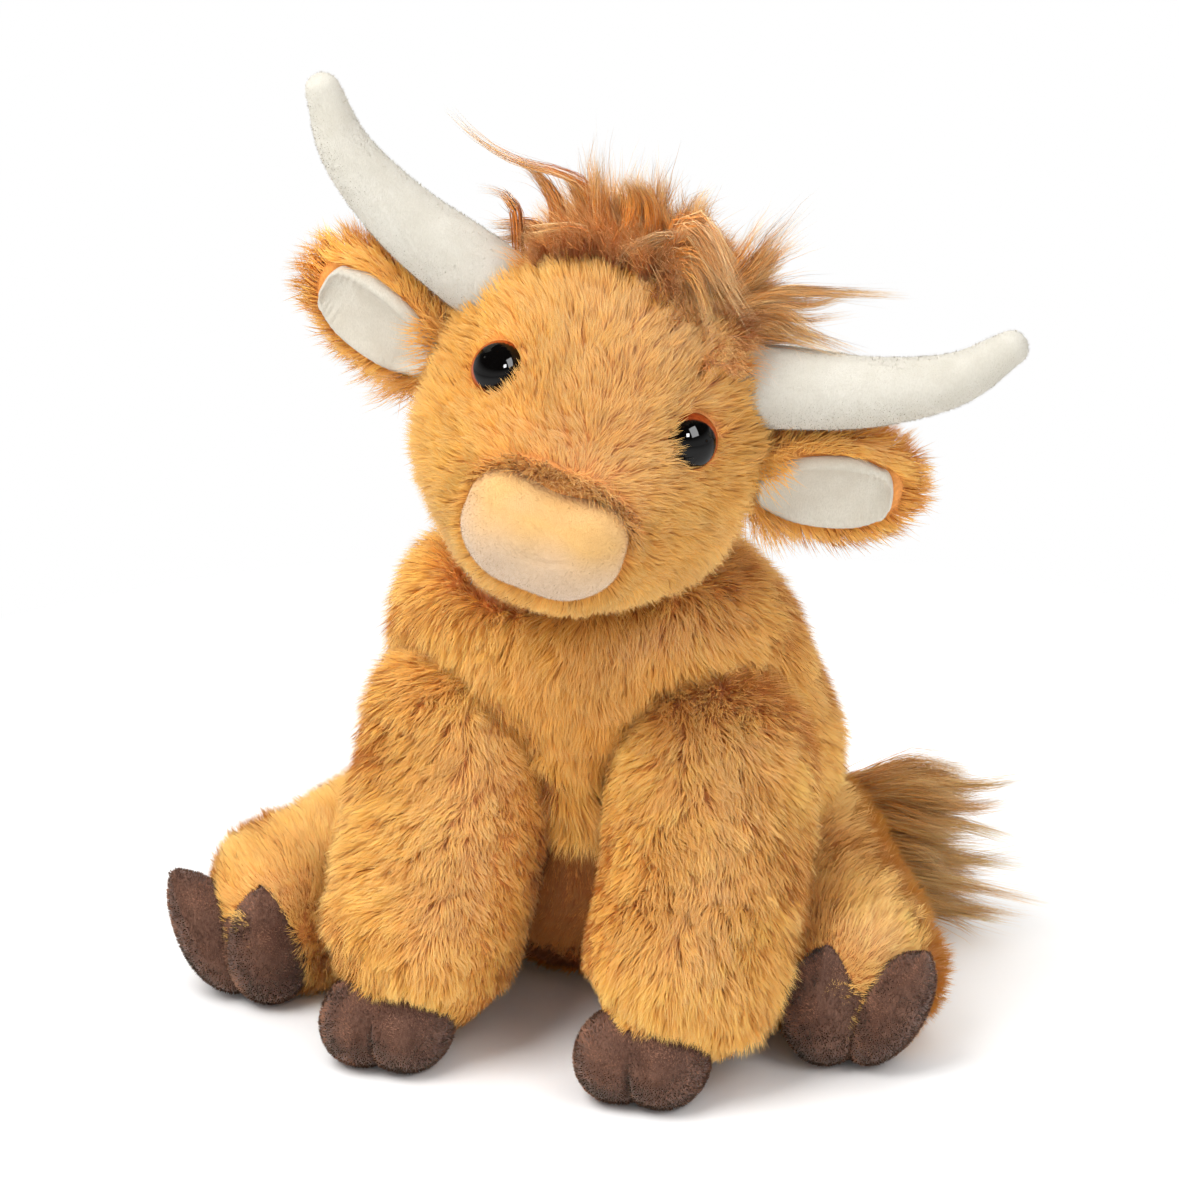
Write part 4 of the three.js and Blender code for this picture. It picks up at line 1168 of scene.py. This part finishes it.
# Guides of the crown's locks in the head's frame: points, hairs, radius at the root, radius at the tip.
# Flicks keep together to a point, beige locks are pale throughout, and the rest are fluffy.
FLICKS = [
    (((-24, 0, 71), (-37, -2, 75), (-50, -3, 74), (-64, -5, 77), (-76, -6, 83)), 70, 2.2, 0.5),
    (((-33, 2, 61), (-39, 1, 68), (-45, -1, 72), (-50, -2, 73)), 190, 3.4, 0.8),
    (((-23, 2, 61), (-27, 1, 69), (-32, -1, 73), (-37, -2, 75)), 240, 4.2, 1.0),
    (((-45, 4, 54), (-48, 3, 58), (-52, 3, 60), (-60, 2, 59)), 110, 2.6, 0.4),
    (((-37, 6, 52), (-45, 6, 51), (-49, 6, 49), (-54, 6, 48)), 120, 3.0, 1.2),
    (((-34, 8, 51), (-42, 8, 48), (-48, 8, 44), (-53, 8, 42)), 110, 3.0, 1.0),
    (((-10, 0, 65), (-11, -1, 74), (-14, -3, 79), (-18, -4, 81)), 220, 3.6, 1.0),
    (((-3, 0, 66), (-6, -1, 75), (-10, -3, 80), (-14, -4, 81)), 220, 3.6, 1.0),
    (((33, 4, 52), (40, 3, 61), (55, 1, 68), (80, 0, 77)), 240, 3.6, 0.5),
    (((36, 4, 51), (42, 3, 58), (53, 3, 62), (63, 2, 70)), 170, 3.4, 0.7),
    (((37, 6, 49), (42, 5, 54), (52, 5, 56), (65, 4, 64)), 110, 3.0, 0.7),
    (((35, 4, 46), (44, 3, 52), (54, 1, 53), (74, 0, 53)), 220, 4.0, 0.8),
    (((34, 2, 44), (43, 0, 48), (53, -2, 51), (68, -4, 52)), 200, 4.0, 1.0),
]
BEIGE_LOCKS = [
    (((8, -12, 77), (18, -15, 73), (27, -19, 65), (39, -22, 57)), 260, 4.5, 2.0),
    (((5, -16, 73), (-2, -19, 69), (-6, -21, 65), (-8, -24, 60)), 70, 1.8, 0.6),
    (((-21, -14, 64), (-29, -15, 62), (-36, -17, 59), (-40, -18, 56)), 60, 1.8, 0.6),
]
CROWN_LOCKS = [
    (((30, 0, 52), (40, -3, 60), (52, -5, 62), (66, -7, 58)), 200, 4.0, 1.0),
    (((32, 2, 50), (42, -1, 56), (54, -3, 56), (64, -6, 50)), 160, 4.0, 1.0),
    (((-15, 4, 59), (-20, 4, 69), (-24, 4, 78), (-27, 4, 89)), 420, 8.5, 1.5),
    (((-19, 4, 58), (-23, 5, 66), (-27, 5, 73), (-30, 6, 80)), 220, 5.0, 1.5),
    (((-11, 6, 60), (-15, 7, 69), (-19, 7, 75), (-21, 8, 84)), 220, 5.0, 1.5),
    (((-4, 6, 63), (-6, 7, 71), (-9, 7, 78), (-12, 8, 85)), 240, 5.0, 1.4),
    (((-1, 6, 63), (-2, 7, 69), (-4, 7, 74), (-5, 8, 80)), 160, 4.5, 1.4),
    (((6, 8, 64), (2, 9, 66), (0, 9, 68), (-2, 10, 71)), 160, 5.0, 2.0),
    (((11, 4, 65), (7, 4, 71), (7, 4, 77), (12, 4, 84)), 260, 5.4, 1.4),
    (((13, 4, 65), (11, 4, 73), (14, 4, 79), (22, 4, 83)), 260, 5.4, 1.2),
    (((19, 6, 63), (19, 6, 68), (20, 6, 71), (24, 6, 74)), 170, 4.0, 1.2),
    (((27, 2, 59), (32, 1, 67), (34, 1, 76), (41, 0, 88)), 260, 5.0, 1.2),
    (((29, 6, 57), (34, 6, 65), (39, 6, 71), (44, 6, 77)), 170, 4.5, 1.5),
    (((32, 2, 56), (39, 1, 65), (47, 1, 68), (53, 0, 70)), 130, 3.0, 0.8),
    (((9, -14, 65), (17, -17, 65), (24, -21, 58), (32, -24, 52)), 240, 5.0, 2.5),
]


def build_forelock(head):
    """Long locks rooted in the crown, in a bed of upright hair that ends in a fringe over the brow."""
    local = to_head(head.verts)
    crown = head.normals @ HEAD_AXES
    on_top = (crown[:, 2] > 0.2) & (np.abs(local[:, 1] - 4) < 16)
    top = local[on_top]

    def rooted(points):
        """The guide with a point under the scalp before it."""
        spot = vec(0.85 * points[0][0], 0.5 * points[0][1] + 2, 50)
        near = top[np.argmin(((top - spot) ** 2 * vec(1, 1, 0.05)).sum(1))]
        return from_head([near - vec(0, 0, 3), *points])

    rng = np.random.default_rng(72)
    locks = []
    for points, hairs, root, tip in CROWN_LOCKS:
        locks += wisps(rooted(points), hairs, root * 1.1, tip * 1.4, rng)
    for points, hairs, root, tip in FLICKS:
        locks.append((rooted(points), 0.9 * hairs, 0.9 * root, 0.6 * tip, 0.6, 0.4 if hairs < 100 else 0.1))
    for points, hairs, root, tip in BEIGE_LOCKS:
        locks.append((rooted(points), 0.8 * hairs, 1.1 * root, 1.3 * tip, 1.0, 0.7))
    pieces = long_hair("forelock_locks", "head", locks, 71, width=0.22, tone=0.9)
    p, n = head.sample(DENSITY["forelock"], rng)
    q = to_head(p)
    edge = np.maximum(np.abs(q[:, 0] + 2) - 45, np.abs(q[:, 1] - 4) * 3 - 42) + 4 * drift(q, 14, 4)
    fringe = from_segment(q[:, :2], vec(2, -8), vec(40, -20)) - 7 + 2 * drift(q, 12, 6)
    keep = (np.minimum(edge, fringe) < 0) & ((n @ HEAD_AXES)[:, 2] > 0.1) & (q[:, 2] > 38)
    for mirror in SIDES:
        keep &= horn_tube(mirror).nearest(p)[1] > 1.2
    p, n, q = p[keep], n[keep], q[keep]
    flow = way_from_head(np.stack([q[:, 0] / 26, (q[:, 1] - 3) / 14, np.full(len(q), 0.3)], 1))
    size = 19 + 6 * np.exp(-(((q[:, 0] + 4) / 22) ** 2)) + 5 * drift(q, 18, 8)
    pieces += fur("forelock_pile", "head", p, n, flow, size, 73, cell=5, pull=0.5, wander=70, lean=(6, 50),
                  width=0.22, ramp=HAIR, steps=np.linspace(0, 1, 6), frizz=1.1, material="hair",
                  tone=(0.84 + 0.12 * drift(q, 13, 15))[:, None] * vec(1, 0.96, 0.9))
    for piece in pieces:
        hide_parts("forelock")


def build_tail():
    """A furred core with a fan of long wisps and a few locks that run out to points."""
    core = Tube([(4, 62.1, 33), (33, 62.1, 33), (62, 53.1, 33)], [7, 7, 7], (0, 0, 1))
    skin_piece("tail_core_skin", core.skin(), "backing", "tail", ["tail_core"])
    rng = np.random.default_rng(91)
    p, n = core.skin().sample(DENSITY["tail"], rng)
    flow = np.tile(vec(1, -0.1, 0), (len(p), 1))
    fur("tail_core_fur", "tail", p, n, flow, np.full(len(p), 9.0), 92)
    locks = []
    for k in range(64):
        v, w = rng.uniform(-1, 1, 2)
        tip = rng.uniform(106, 134) + 5 * v * v
        guide = ((40, 60, 33 + 4 * v), (60, 56 + 3 * w, 33 + 12 * v), (84, 52 + 11 * w, 33 + 24 * v),
                 (104, 50 + 14 * w, 34 + 25 * v + rng.normal(0, 3)),
                 (tip, 48 + 15 * w + rng.normal(0, 3), 34 + 24 * v + rng.normal(0, 5)))
        locks += wisps(guide, 160, 5.0, 1.4, rng, each=40, pale=0.34)
    for tip, spot in (((131, 50, 61), 22), ((135, 50, 28), -4), ((143, 50, 15), -14), ((134, 50, 9), -22),
                      ((127, 48, 8), -24), ((128, 52, 52), 14), ((132, 46, 40), 8)):
        locks.append((((40, 60, 33), (66, 56, 33 + spot * 0.6), (92, 52, 33 + spot), (112, 50, 33 + spot * 1.05), tip),
                      210, 4.0, 0.5, 0.7, 0.3))
    pieces = long_hair("tail_tuft_hair", "tail", locks, 93)
    for piece in pieces:
        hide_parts("tail_tuft")


def build_inside():
    """The hidden CAD nodes stay as they are, with materials of their own."""
    for name, node in frame["nodes"].items():
        for kind in ("stuffing", "pouch", "washer"):
            if kind in name:
                node.data.materials.clear()
                node.data.materials.append(MATERIALS[kind])


bpy.context.scene.view_settings.view_transform = "Standard"
camera()
floor()
world()
lights()
torso = build_torso()
build_neck()
head = build_head()
build_forelock(head)
for order, leg in enumerate(LEGS):
    build_leg(leg, torso, build_hoof(leg, 130 + 10 * order), 30 + order)
build_horns_and_ears()
build_nose()
build_eyes()
build_tail()
build_inside()

sizes = {"cad": CAD_BOX, "visual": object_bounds()}
{k: [list(map(float, corner)) for corner in box] for k, box in sizes.items()}
